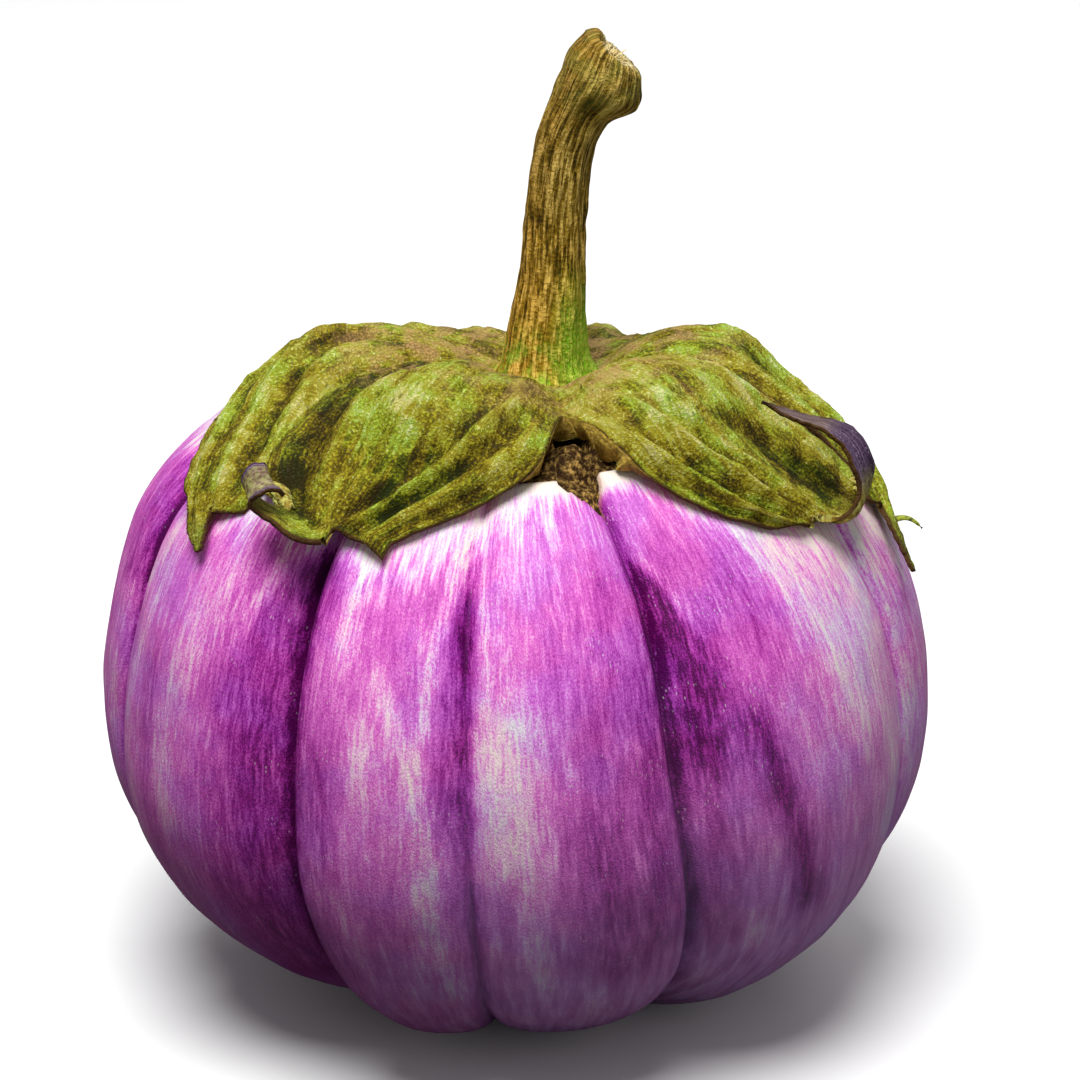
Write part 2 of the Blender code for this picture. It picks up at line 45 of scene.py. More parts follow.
# Lengths are in millimetres up to the point where a mesh is made. An azimuth is in degrees from the front and
# grows to the right. An arc is measured from the crown's middle down over the fruit's plain outline.
# A polar runs from 0 at the crown to pi at the base.
fruitShape = {
    "equatorRadius": 59.5,
    "equatorHeight": 43.0,
    "rise": 50.0,
    "fall": 44.0,
    "upperBoxiness": 3.1,
    "lowerBoxiness": 2.5,
    "crownDimple": 5.0,
    "crownDimpleWidth": 16.0,
    "baseDimple": 4.5,
    "baseDimpleWidth": 8.0,
    "crownShift": 4.6,  # the stem stands this far to the right of the fruit's middle
    "leftShoulder": 3.0,
    "rightShoulder": 1.6,
    "backShoulder": 5.0,
    "shoulderEnd": (0.9, 1.4),  # the shoulders die away between these polars
    "crownShiftEnd": 1.1,
    "grooveStart": (0.25, 1.15),  # the grooves deepen between these polars
    "swellStart": (0.8, 1.4),  # the lobes swell between these
    "lowSwellStart": (1.7, 2.3),
    "baseClosing": 0.6,  # grooves and swell close over this last stretch of polar
    "steepFlankPower": 2.4,
    "gentleFlankPower": 1.9,
    "lipArc": 37.0,
    "lipSteepness": 0.05,
    "corkDepth": 1.6,
    "corkGroove": 3,
    "corkWedgeDepth": 1.9,
    "corkWedgeWidths": (0.75, 0.05),  # before and after the groove, as shares of half a lobe
    "corkWedgeLength": 0.16,
    "corkWedgeTaper": 1.8,
    "corkMound": (12.5, 29.5, 4.2, 3.6),  # azimuth, arc, width and height of the cork in the front gap
    "grooveBend": (3, 2.6, 1.0, 0.28),  # which groove, degrees to the right, at which polar, how widely
    "creaseDepth": 1.1,  # the sharp line at the bottom of each groove
    "creaseWidth": 1.2,
    "waviness": 0.35,
    "waveSize": 17.0,
    "corkRoughness": (0.45, 0.2),  # of its larger and its finer grain
    "rows": 230,
    "columnsPerShare": 4.3,
    "seed": 4.7,
}

# azimuth at the equator, lean from crown to base, depth, and how gently the lobes before and after it rise
grooves = (
    (-74.0, -8.0, 4.0, 0.3, 0.2),
    (-32.0, 5.0, 5.5, 0.7, 0.0),
    (-5.5, 5.0, 2.2, 0.2, 0.4),
    (24.5, 29.0, 4.6, 0.0, 0.8),
    (71.0, 20.0, 1.6, 0.5, 0.4),
    (99.0, 8.0, 4.2, 0.4, 0.2),
    (134.0, 0.0, 3.2, 0.2, 0.5),
    (163.0, -6.0, 4.6, 0.6, 0.1),
    (198.0, 5.0, 3.0, 0.3, 0.3),
    (228.0, 6.0, 4.4, 0.1, 0.6),
    (262.0, 0.0, 3.4, 0.4, 0.2),
)

# share of the columns, swell round the equator, and more or less swell low down; each lobe follows its groove
lobes = (
    (9, -0.2, -1.4),
    (7, 1.2, -0.9),
    (8, 0.8, -0.9),
    (11, 1.0, 0.2),
    (8, 0.4, 0.0),
    (8, 1.2, 0.0),
    (7, 0.8, 0.0),
    (8, 1.2, 0.0),
    (7, 0.8, 0.0),
    (8, 1.0, 0.0),
    (8, -0.6, -1.4),
)

# A place round the fruit counts the lobes with its whole part and goes across a lobe with the rest.
# place, and the arc where the skin ends there, under the calyx
lipLine = ((0.0, 37.0), (2.9, 37.0), (3.02, 35.2), (3.5, 35.4), (3.9, 37.0), (11.0, 37.0))

# place round the fruit, and the arcs between which the cream colour beside the calyx fades away there
creamEdge = (
    (0.0, 43, 52), (0.5, 45, 57), (1.0, 45, 54), (1.4, 47, 59), (1.8, 45, 58), (2.0, 42, 54), (2.3, 38, 50),
    (2.6, 36, 46), (2.85, 35.5, 41.5), (3.0, 36, 40), (3.1, 36, 39.5), (3.3, 38.5, 48), (3.5, 39, 56),
    (3.75, 43, 66), (4.0, 47, 74), (4.5, 49, 76), (5.0, 49, 72), (6.0, 47, 62), (8.0, 46, 60),
    (10.0, 43, 54), (11.0, 43, 52),
)

# place round the fruit, and how greyish the skin turns low down there
bloomPlaces = (
    (0.0, 0.25), (0.5, 0.0), (0.95, 0.0), (1.2, 0.25), (1.8, 0.4), (2.2, 0.75), (2.9, 0.8), (3.3, 1.05),
    (4.0, 1.3), (5.0, 0.8), (8.0, 0.5), (11.0, 0.25),
)

# Streaks of the skin: (polar, place) from top to bottom, half the width and strength
paleStreaks = (
    (((0.98, 0.70), (1.20, 0.60), (1.40, 0.48), (1.66, 0.50)), 3.4, 0.50),
    (((0.85, 0.92), (1.00, 0.82), (1.13, 0.74)), 1.5, 0.95),
    (((0.84, 1.30), (1.10, 1.32)), 1.5, 0.95),
    (((0.76, 1.985), (0.97, 1.90), (1.13, 1.82), (1.32, 1.77), (1.50, 1.76)), 1.1, 0.90),
    (((0.78, 2.03), (0.97, 2.06), (1.12, 2.10), (1.25, 2.10)), 0.8, 0.60),
    (((1.34, 1.48), (1.42, 1.48)), 1.2, 0.85),
    (((1.20, 1.56), (1.36, 1.72), (1.58, 1.82), (1.70, 1.80)), 1.3, 0.75),
    (((1.60, 1.80), (1.84, 1.82)), 1.6, 0.60),
    (((1.92, 1.86), (2.10, 1.86)), 3.5, 0.50),
    (((0.62, 2.30), (0.80, 2.28), (0.92, 2.24)), 2.6, 0.50),
    (((0.66, 2.50), (0.86, 2.52)), 0.9, 0.60),
    (((1.26, 2.18), (1.41, 2.16), (1.60, 2.20)), 4.8, 1.0),
    (((0.80, 3.74), (1.20, 3.80), (1.75, 3.86)), 8.5, 0.62),
    (((0.75, 4.45), (1.20, 4.50), (1.80, 4.55)), 9.0, 0.50),
    (((1.45, 2.24), (1.75, 2.26), (2.05, 2.30)), 1.6, 0.50),
    (((0.80, 3.46), (1.10, 3.57), (1.38, 3.63)), 4.4, 0.90),
    (((0.70, 3.70), (1.00, 3.82), (1.30, 3.88)), 4.5, 0.50),
    (((0.86, 3.04), (0.97, 3.10), (1.08, 3.15)), 0.8, 0.90),
    (((1.92, 3.22), (2.00, 3.22)), 1.6, 0.55),
    (((1.15, 4.02), (1.50, 4.04)), 2.2, 0.65),
    (((1.40, 3.78), (1.80, 3.84)), 2.0, 0.45),
    (((0.93, 0.28), (1.08, 0.18), (1.23, -0.04)), 3.6, 0.65),
    (((1.45, 10.84), (1.56, 10.84)), 2.2, 0.60),
    (((1.10, 0.30), (1.40, 0.20), (1.80, 0.24)), 1.6, 0.55),
    (((1.72, 1.30), (1.95, 1.36)), 1.8, 0.45),
    (((2.05, 2.55), (2.22, 2.55)), 2.6, 0.40),
)
# The dark streaks on the flank before groove 1 (places 0.84 to 0.95) and after groove 3 (places 3.05 to 3.12)
# are partly painted shade; the rest are darker purple in the skin.
darkStreaks = (
    (((0.92, 0.95), (1.30, 0.87), (1.70, 0.87), (2.30, 0.84)), 7.5, 0.62),
    (((0.94, 3.06), (1.10, 3.09)), 2.6, 0.9),
    (((1.08, 3.08), (1.25, 3.10), (1.38, 3.08)), 4.2, 1.0),
    (((1.38, 3.12), (1.95, 3.05)), 5.0, 0.35),
    (((0.90, 3.26), (1.22, 3.36)), 5.0, 0.28),
    (((0.95, 2.62), (1.25, 2.62), (1.95, 2.60)), 7.0, 0.30),
    (((1.22, 2.84), (1.60, 2.84), (1.90, 2.80)), 3.2, 0.50),
    (((1.32, 3.26), (1.55, 3.32), (1.85, 3.38)), 2.8, 0.80),
    (((0.90, 10.86), (1.19, 10.94)), 5.0, 0.55),
    (((1.00, 1.95), (1.50, 1.93)), 2.4, 0.50),
    (((1.05, 1.08), (1.60, 1.07), (2.20, 1.08)), 2.0, 0.60),
    (((1.40, 1.26), (2.00, 1.30)), 2.0, 0.35),
    (((1.50, 2.55), (2.00, 2.60)), 3.0, 0.35),
    (((1.30, 0.36), (1.80, 0.38)), 2.0, 0.35),
)


def mix(first, second, share):
    return first + (second - first) * share


def ramp(low, high, value):
    share = np.clip((value - low) / (high - low), 0.0, 1.0)
    return share * share * (3.0 - 2.0 * share)


def bell(value, width):
    return np.exp(-((value / width) ** 2))


def follow(stations, where):
    # smooth curve through stations, each a row of numbers that starts with its place
    table = np.array(stations, float)
    places = table[:, 0]
    where = np.asarray(where, float)
    last = len(table) - 1
    start = np.clip(np.searchsorted(places, where, side="left") - 1, 0, last - 1)
    before, end, after = np.maximum(start - 1, 0), start + 1, np.minimum(start + 2, last)
    length = places[end] - places[start]
    share = np.clip((where - places[start]) / length, 0.0, 1.0)
    slopeIn = (table[end] - table[before]) / (places[end] - places[before])[..., None]
    slopeOut = (table[after] - table[start]) / (places[after] - places[start])[..., None]
    share, length = share[..., None], length[..., None]
    values = mix(table[start], table[end], share * share * (3.0 - 2.0 * share))
    values = values + length * share * (1.0 - share) ** 2 * slopeIn
    values = values - length * share * share * (1.0 - share) * slopeOut
    return np.moveaxis(values[..., 1:], -1, 0)


def roughly(points, scale, seed):
    # smooth noise from about -1 to 1 at each point, with a finer octave on it
    points = np.asarray(points, float)
    shift = Vector((seed, seed * 1.7, seed * 2.3))
    flat = points.reshape(-1, 3) / scale
    values = np.empty(len(flat))
    for number, spot in enumerate(flat):
        at = Vector(spot) + shift
        values[number] = noise.noise(at) + 0.4 * noise.noise(at * 2.3)
    return values.reshape(points.shape[:-1])


def outline(polar):
    shape = fruitShape
    sine = np.clip(np.sin(polar), 0.0, 1.0)
    radius = shape["equatorRadius"] * sine
    upper = shape["rise"] * np.sqrt(np.maximum(0.0, 1.0 - sine ** shape["upperBoxiness"]))
    upper = upper - shape["crownDimple"] * bell(radius, shape["crownDimpleWidth"])
    lower = -shape["fall"] * np.sqrt(np.maximum(0.0, 1.0 - sine ** shape["lowerBoxiness"]))
    lower = lower + shape["baseDimple"] * bell(radius, shape["baseDimpleWidth"])
    return radius, shape["equatorHeight"] + np.where(polar < math.pi / 2, upper, lower)


def outlineNormal(polar):
    lowRadius, lowHeight = outline(np.maximum(0.0, polar - 0.01))
    highRadius, highHeight = outline(np.minimum(math.pi, polar + 0.01))
    alongRadius, alongHeight = highRadius - lowRadius, highHeight - lowHeight
    length = np.hypot(alongRadius, alongHeight)
    return -alongHeight / length, alongRadius / length


def shoulder(polar, azimuth):
    turn = np.radians(azimuth)
    left = fruitShape["leftShoulder"] * np.maximum(0.0, -np.sin(turn)) ** 2 * ramp(0.35, 0.8, polar)
    right = fruitShape["rightShoulder"] * np.maximum(0.0, np.sin(turn)) ** 6 * ramp(0.5, 0.9, polar)
    back = fruitShape["backShoulder"] * (0.5 - 0.5 * np.cos(turn)) ** 2 * ramp(0.1, 0.5, polar)
    return (left + right - back) * (1.0 - ramp(*fruitShape["shoulderEnd"], polar))


def place(polar, azimuth, offset):
    # points at an offset from the plain outline
    radius, height = outline(polar)
    outward, upward = outlineNormal(polar)
    offset = offset + shoulder(polar, azimuth)
    radius = radius + outward * offset * ramp(0.0, 0.1, polar) * ramp(0.0, 0.1, math.pi - polar)
    height = height + upward * offset
    turn = np.radians(azimuth)
    shift = fruitShape["crownShift"] * (1.0 - ramp(0.0, fruitShape["crownShiftEnd"], polar))
    parts = np.broadcast_arrays(radius * np.sin(turn) + shift, -radius * np.cos(turn), height)
    return np.stack(parts, axis=-1)


arcPolars = np.linspace(0.0, math.pi, 1200)
arcRadii, arcHeights = outline(arcPolars)
arcLengths = np.concatenate(([0.0], np.cumsum(np.hypot(np.diff(arcRadii), np.diff(arcHeights)))))


def polarAt(arc):
    return np.interp(arc, arcLengths, arcPolars)


def arcAt(polar):
    return np.interp(polar, arcPolars, arcLengths)


def grooveAzimuth(index, polar):
    table = np.array(grooves)
    inside = index % len(grooves)
    turns = index // len(grooves)
    azimuth = table[inside, 0] + 360.0 * turns + table[inside, 1] * (polar / math.pi - 0.5)
    bendGroove, bendTurn, bendPolar, bendWidth = fruitShape["grooveBend"]
    return azimuth + bendTurn * bell(polar - bendPolar, bendWidth) * (inside == bendGroove)


def fruitOffset(index, across, polar, halfWidth):
    # how far the skin stands off the plain outline; halfWidth is half the lobe's width there
    shape = fruitShape
    grooveTable, lobeTable = np.array(grooves), np.array(lobes, float)
    side = 2.0 * across - 1.0
    near = np.where(side < 0.0, index, (index + 1) % len(grooves))
    gentle = np.where(side < 0.0, grooveTable[near, 4], grooveTable[near, 3])
    edge = np.abs(side)
    steepFall = 1.0 - np.sqrt(np.maximum(0.0, 1.0 - edge ** shape["steepFlankPower"]))
    closing = ramp(0.0, shape["baseClosing"], math.pi - polar)
    depth = grooveTable[near, 2] * ramp(*shape["grooveStart"], polar) * closing
    offset = -depth * mix(steepFall, edge ** shape["gentleFlankPower"], gentle)
    crease = bell((1.0 - edge) * halfWidth, shape["creaseWidth"]) * depth / 4.0
    offset = offset - shape["creaseDepth"] * crease
    swell = lobeTable[index, 1] + lobeTable[index, 2] * ramp(*shape["lowSwellStart"], polar)
    offset = offset + swell * ramp(*shape["swellStart"], polar) * closing * (1.0 - edge * edge)
    lipPolar = polarAt(follow(lipLine, index + across)[0])
    offset = offset - shape["corkDepth"] * (1.0 - ramp(lipPolar - shape["lipSteepness"], lipPolar, polar))
    below = np.clip((polar - lipPolar) / shape["corkWedgeLength"], 0.0, 1.0)
    wide = np.where(side > 0.0, *shape["corkWedgeWidths"]) * (1.0 - below) ** shape["corkWedgeTaper"]
    wedge = ramp(0.0, 0.05, wide) * ramp(0.97 - wide, 1.03 - wide, edge) * (near == shape["corkGroove"])
    cork = np.maximum(wedge, 1.0 - ramp(lipPolar - 0.04, lipPolar - 0.01, polar))
    return offset - shape["corkWedgeDepth"] * wedge, cork, crease


def streakMask(streaks, polars, places, lobeWidth):
    # how strongly the streaks cover each point, from 0 to 1
    bare = np.ones_like(polars)
    for path, width, strength in streaks:
        downs = [spot[0] for spot in path]
        middle = np.interp(polars, downs, [spot[1] for spot in path])
        apart = (places - middle + 0.5 * len(lobes)) % len(lobes) - 0.5 * len(lobes)
        soft = 0.12
        along = ramp(downs[0] - soft, downs[0] + 0.3 * soft, polars)
        along = along * (1.0 - ramp(downs[-1] - 0.3 * soft, downs[-1] + soft, polars))
        bare = bare * (1.0 - strength * along * bell(apart * lobeWidth, width))
    return 1.0 - bare


def scatterStreaks(seed, count):
    # streaks for the lobes that turn away from the front
    chance = random.Random(seed)
    streaks = []
    for lobe in (5, 6, 7, 8, 9):
        for number in range(count):
            top = chance.uniform(0.75, 1.6)
            bottom = top + chance.uniform(0.15, 0.7)
            across = lobe + chance.uniform(0.1, 0.9)
            path = ((top, across), (bottom, across + chance.uniform(-0.06, 0.06)))
            streaks.append((path, chance.uniform(1.0, 4.0), chance.uniform(0.4, 0.85)))
    return tuple(streaks)


def addObject(name, data):
    made = bpy.data.objects.new(name, data)
    bpy.context.scene.collection.objects.link(made)
    return made


def meshFrom(name, points, faces, attributes, shift):
    # a smooth object from points in millimetres
    mesh = bpy.data.meshes.new(name)
    mesh.from_pydata(((points + shift) * mm).tolist(), [], faces)
    for label, values in attributes.items():
        values = np.asarray(values, float)
        kind, field = ("FLOAT_VECTOR", "vector") if values.ndim == 2 else ("FLOAT", "value")
        mesh.attributes.new(label, kind, "POINT").data.foreach_set(field, values.ravel())
    mesh.shade_smooth()
    mesh.validate()
    return addObject(name, mesh)


def ringFaces(rows, columns, loose):
    # quads of rows of points that close into rings, and fans to the two poles that follow them
    faces = []
    for row in range(rows - 1):
        for column in range(columns):
            after = (column + 1) % columns
            top, below = row * columns, (row + 1) * columns
            faces.append((top + column, below + column, below + after, top + after))
    last = (rows - 1) * columns
    for column in range(columns):
        after = (column + 1) % columns
        faces.append((loose, column, after))
        faces.append((loose + 1, last + after, last + column))
    return faces


def columnPlaces():
    # places of the columns round the fruit, crowded towards the grooves
    places = []
    for index, lobe in enumerate(lobes):
        count = round(lobe[0] * fruitShape["columnsPerShare"])
        share = np.arange(count) / count
        places.append(index + mix(share, 0.5 - 0.5 * np.cos(math.pi * share), 0.5))
    return np.concatenate(places)


def skinFacts(polars, places, index, across, lobeWidth, cork, crease):
    # what the skin's colours need at each point, and at the two poles after them
    turn = np.radians(mix(grooveAzimuth(index, math.pi / 2), grooveAzimuth(index + 1, math.pi / 2), across))
    reach, arcs = fruitShape["equatorRadius"], arcAt(polars)
    grain = np.stack((reach * np.sin(turn), -reach * np.cos(turn), arcs), axis=-1)
    lipWay = arcs - follow(lipLine, places)[0]
    lip = (1.0 - ramp(1.0, 2.6, lipWay)) * ramp(2.2, 2.5, places) * (1.0 - ramp(3.4, 3.8, places))
    pale = streakMask(paleStreaks + scatterStreaks(11, 5), polars, places, lobeWidth)
    dark = streakMask(darkStreaks + scatterStreaks(23, 2), polars, places, lobeWidth)
    ends = lambda values, top, bottom: np.concatenate((values.ravel(), [top, bottom]))
    return {
        "grain": np.concatenate((grain.reshape(-1, 3), [(0.0, 0.0, 0.0)], [(0.0, 0.0, arcLengths[-1])])),
        "pale": ends(pale, 0.0, 0.0),
        "dark": ends(dark, 0.0, 0.0),
        "cream": ends(1.0 - ramp(*follow(creamEdge, places), arcs), 1.0, 0.0),
        "cork": ends(cork, 1.0, 0.0),
        # painted shade along the bottom of each groove
        "crease": ends(np.clip(1.7 * crease, 0.0, 1.0), 0.0, 0.0),
        # grows towards the base; the colours use it for painted shade and greyish bloom there
        "low": ends(ramp(1.05, 2.2, polars), 0.0, 1.0),
        "bloom": ends(follow(bloomPlaces, places)[0], 0.5, 0.5),
        "lip": ends(lip, 0.0, 0.0),
    }


def makeFruit():
    shape = fruitShape
    polars = np.linspace(0.0, math.pi, shape["rows"] + 1)[1:-1]
    polars, places = np.meshgrid(polars, columnPlaces(), indexing="ij")
    index = np.floor(places).astype(int)
    across, arcs = places - index, arcAt(polars)
    first, last = grooveAzimuth(index, polars), grooveAzimuth(index + 1, polars)
    azimuth = mix(first, last, across)
    radius = outline(polars)[0]
    lobeWidth = np.radians(last - first) * radius
    offset, cork, crease = fruitOffset(index, across, polars, 0.5 * lobeWidth)
    points = place(polars, azimuth, offset)
    free = ramp(shape["lipArc"], shape["lipArc"] + 12.0, arcs) * ramp(0.0, 0.8, math.pi - polars)
    waves = roughly(points, shape["waveSize"], shape["seed"])
    waves = waves + 0.35 * roughly(points * (1.0, 1.0, 0.3), 4.0, shape["seed"] + 9.0)
    offset = offset + shape["waviness"] * waves * free
    moundTurn, moundArc, moundWidth, moundHeight = shape["corkMound"]
    mound = bell(np.hypot(np.radians(azimuth - moundTurn) * radius, arcs - moundArc), moundWidth)
    offset = offset + moundHeight * mound * (1.0 - ramp(shape["lipArc"] - 2.0, shape["lipArc"] + 1.0, arcs))
    coarse, fine = shape["corkRoughness"]
    rough = coarse * roughly(points, 1.9, shape["seed"] + 3.0) + fine * roughly(points, 0.8, 6.0)
    offset = offset + cork * rough
    points = place(polars, azimuth, offset)
    points[..., 2] = np.maximum(0.0, points[..., 2])
    poles = [place(0.0, 0.0, offset[0, 0])], [points[-1].mean(axis=0)]
    pointList = np.concatenate((points.reshape(-1, 3), *poles))
    facts = skinFacts(polars, places, index, across, lobeWidth, cork, crease)
    low, high = pointList.min(axis=0), pointList.max(axis=0)
    shift = np.array((-0.5 * (low[0] + high[0]), -0.5 * (low[1] + high[1]), 0.0))
    return meshFrom("ribbedFruit", pointList, ringFaces(*polars.shape, polars.size), facts, shift), shift


ribbedFruit, standShift = makeFruit()
print("fruit made:", len(ribbedFruit.data.polygons), "faces")

calyxShape = {
    "fusedArc": 26.5,
    "seatHeight": 91.5,
    "seatArc": 7.0,
    "seatBlend": 7.0,
    "shellThickness": 8.0,  # the thickest the flesh may be
    "middleThickness": 2.5,
    "bladeThickness": 0.7,
    "tipThickness": 0.55,
    "thinning": (27.0, 40.0),
    "skinGap": 0.5,
    "ribHeight": 0.7,
    "ribStart": (12.0, 22.0),
    "liftLength": 6.0,
    "curlLift": (0.6, 44.0, 48.0),  # the left front sepal's first margin lifts so much, and in full from there
    "gapSettling": (33.0, 43.0),  # the margins beside the front gap come down between these arcs
    "gapSides": (0.70, 0.98),  # where those margins thicken, as a share of the blade
    "gapReach": 0.8,  # and how far into the fruit
    "gapThickness": (0.7, 7.5),
    "gapEnd": (35.0, 40.0),
    # a fold's tone is painted shade in its valley and painted light on its ridge
    "foldToneDepth": 1.2,  # a fold this deep or high has its full tone
    # painted shade towards a sepal's end grows over these arcs, and towards its left margin over these shares
    # of the side
    "shadeArcs": (34.0, 44.0),
    "shadeSides": (0.15, 0.45),
    "columns": 60,
    "fusedRows": 28,
    "bladeRows": 52,
    "tipRows": 40,
    "veinHeight": 0.22,
    "veinWidth": 0.6,
    "veins": (-0.9, -0.76, -0.62, -0.48, -0.34, -0.2, -0.07, 0.07, 0.2, 0.33, 0.47, 0.61, 0.75, 0.9),
    "lumpHeight": 0.45,
    "crumpleHeight": 0.26,
    "gritHeight": 0.1,
    "seed": 8.3,
}

# Folds of each sepal: (arc, side) from the stem outwards, half the width, and height or depth
folds = (
    (
        (((22, -0.36), (32, -0.60), (36, -0.56), (40, -0.55), (43.5, -0.58), (47, -0.62)), 2.3, -1.9),
        (((26, -0.30), (32.6, -0.40), (35.7, -0.36), (41, -0.34), (45, -0.4)), 1.6, 0.8),
        (((27, 0.0), (31, 0.0), (35, -0.05)), 5.5, 1.1),
        (((27, 0.56), (34.5, 0.36), (37.6, 0.25), (42.8, 0.17), (46, 0.04)), 1.3, -1.2),
        (((27, 0.66), (32, 0.58), (38.2, 0.39), (43.9, 0.27), (48, 0.1)), 1.0, 0.8),
        (((29, 0.76), (34.2, 0.69), (38.4, 0.52), (42.5, 0.42), (47.2, 0.3)), 1.4, -1.4),
        (((31, 0.88), (36.6, 0.80), (43.1, 0.66), (47.5, 0.6)), 1.2, 0.6),
        (((34, 0.94), (40, 0.86), (46, 0.8)), 0.8, -0.4),
    ),
    (
        (((27, -0.62), (33.9, -0.31), (41.4, -0.12), (48, -0.22)), 1.1, 0.9),
        (((29, -0.78), (33.7, -0.68), (38.4, -0.44), (44, -0.42), (48.5, -0.5)), 1.1, -1.2),
        (((32, -0.86), (36, -0.72), (42.1, -0.60), (49, -0.72)), 0.9, 0.8),
        (((35, -0.90), (42.3, -0.76), (49.5, -0.86)), 0.8, -0.7),
        (((28, -0.44), (35, -0.16), (42, 0.02), (49, -0.06)), 0.9, -0.7),
        (((27, -0.30), (36, -0.02), (43, 0.14), (50, 0.08)), 1.1, 0.7),
        (((34, 0.36), (39, 0.46), (44, 0.50), (51, 0.50)), 2.6, -1.4),
        (((22, 0.04), (30.5, 0.10), (35, 0.26)), 1.8, -0.7),
        (((26, 0.62), (36, 0.80), (46, 0.86)), 2.4, 0.9),
    ),
    (
        (((26, 0.0), (40, -0.05), (57, 0.0)), 1.2, 0.8),
        (((28, -0.40), (42, -0.45), (55, -0.4)), 1.3, -0.9),
        (((28, 0.40), (42, 0.42), (55, 0.4)), 1.3, -0.8),
        (((30, -0.75), (44, -0.78)), 1.1, 0.6),
    ),
    (
        (((24, 0.0), (52, 0.0)), 1.2, 0.8),
        (((24, -0.42), (50, -0.36)), 1.6, -1.1),
        (((24, 0.36), (50, 0.42)), 1.5, -0.9),
        (((26, 0.70), (48, 0.74)), 1.2, 0.7),
        (((26, -0.72), (48, -0.7)), 1.2, 0.6),
    ),
    (
        (((24, 0.05), (50, 0.0)), 1.2, 0.8),
        (((24, -0.35), (49, -0.42)), 1.5, -0.9),
        (((24, 0.44), (49, 0.38)), 1.7, -1.2),
        (((26, -0.70), (46, -0.72)), 1.2, 0.6),
    ),
    (
        (((22, 0.24), (30, 0.36), (35.2, 0.50), (41, 0.54), (47, 0.58)), 1.6, -1.3),
        (((22, 0.50), (27.7, 0.60), (31.8, 0.66), (36, 0.80), (41, 0.86), (45, 0.84)), 1.9, 0.5),
        (((26, 0.0), (36, 0.24), (48, 0.30)), 1.2, 0.7),
        (((28, -0.26), (40, -0.04), (50, 0.0)), 1.3, -0.8),
        (((28, -0.55), (42, -0.42), (50, -0.3)), 1.2, 0.6),
        (((30, -0.78), (44, -0.7)), 1.1, -0.6),
    ),
)

# how much lighter each sepal is, and how much lighter still towards its end and its left margin; the darkening
# towards the ends and left margins is painted shade
sepalShades = (
    (0.0, -0.35, -0.12), (0.45, -0.50, -0.1), (0.1, 0.0, 0.0),
    (0.0, 0.0, 0.0), (0.0, 0.0, 0.0), (0.12, 0.0, 0.0),
)

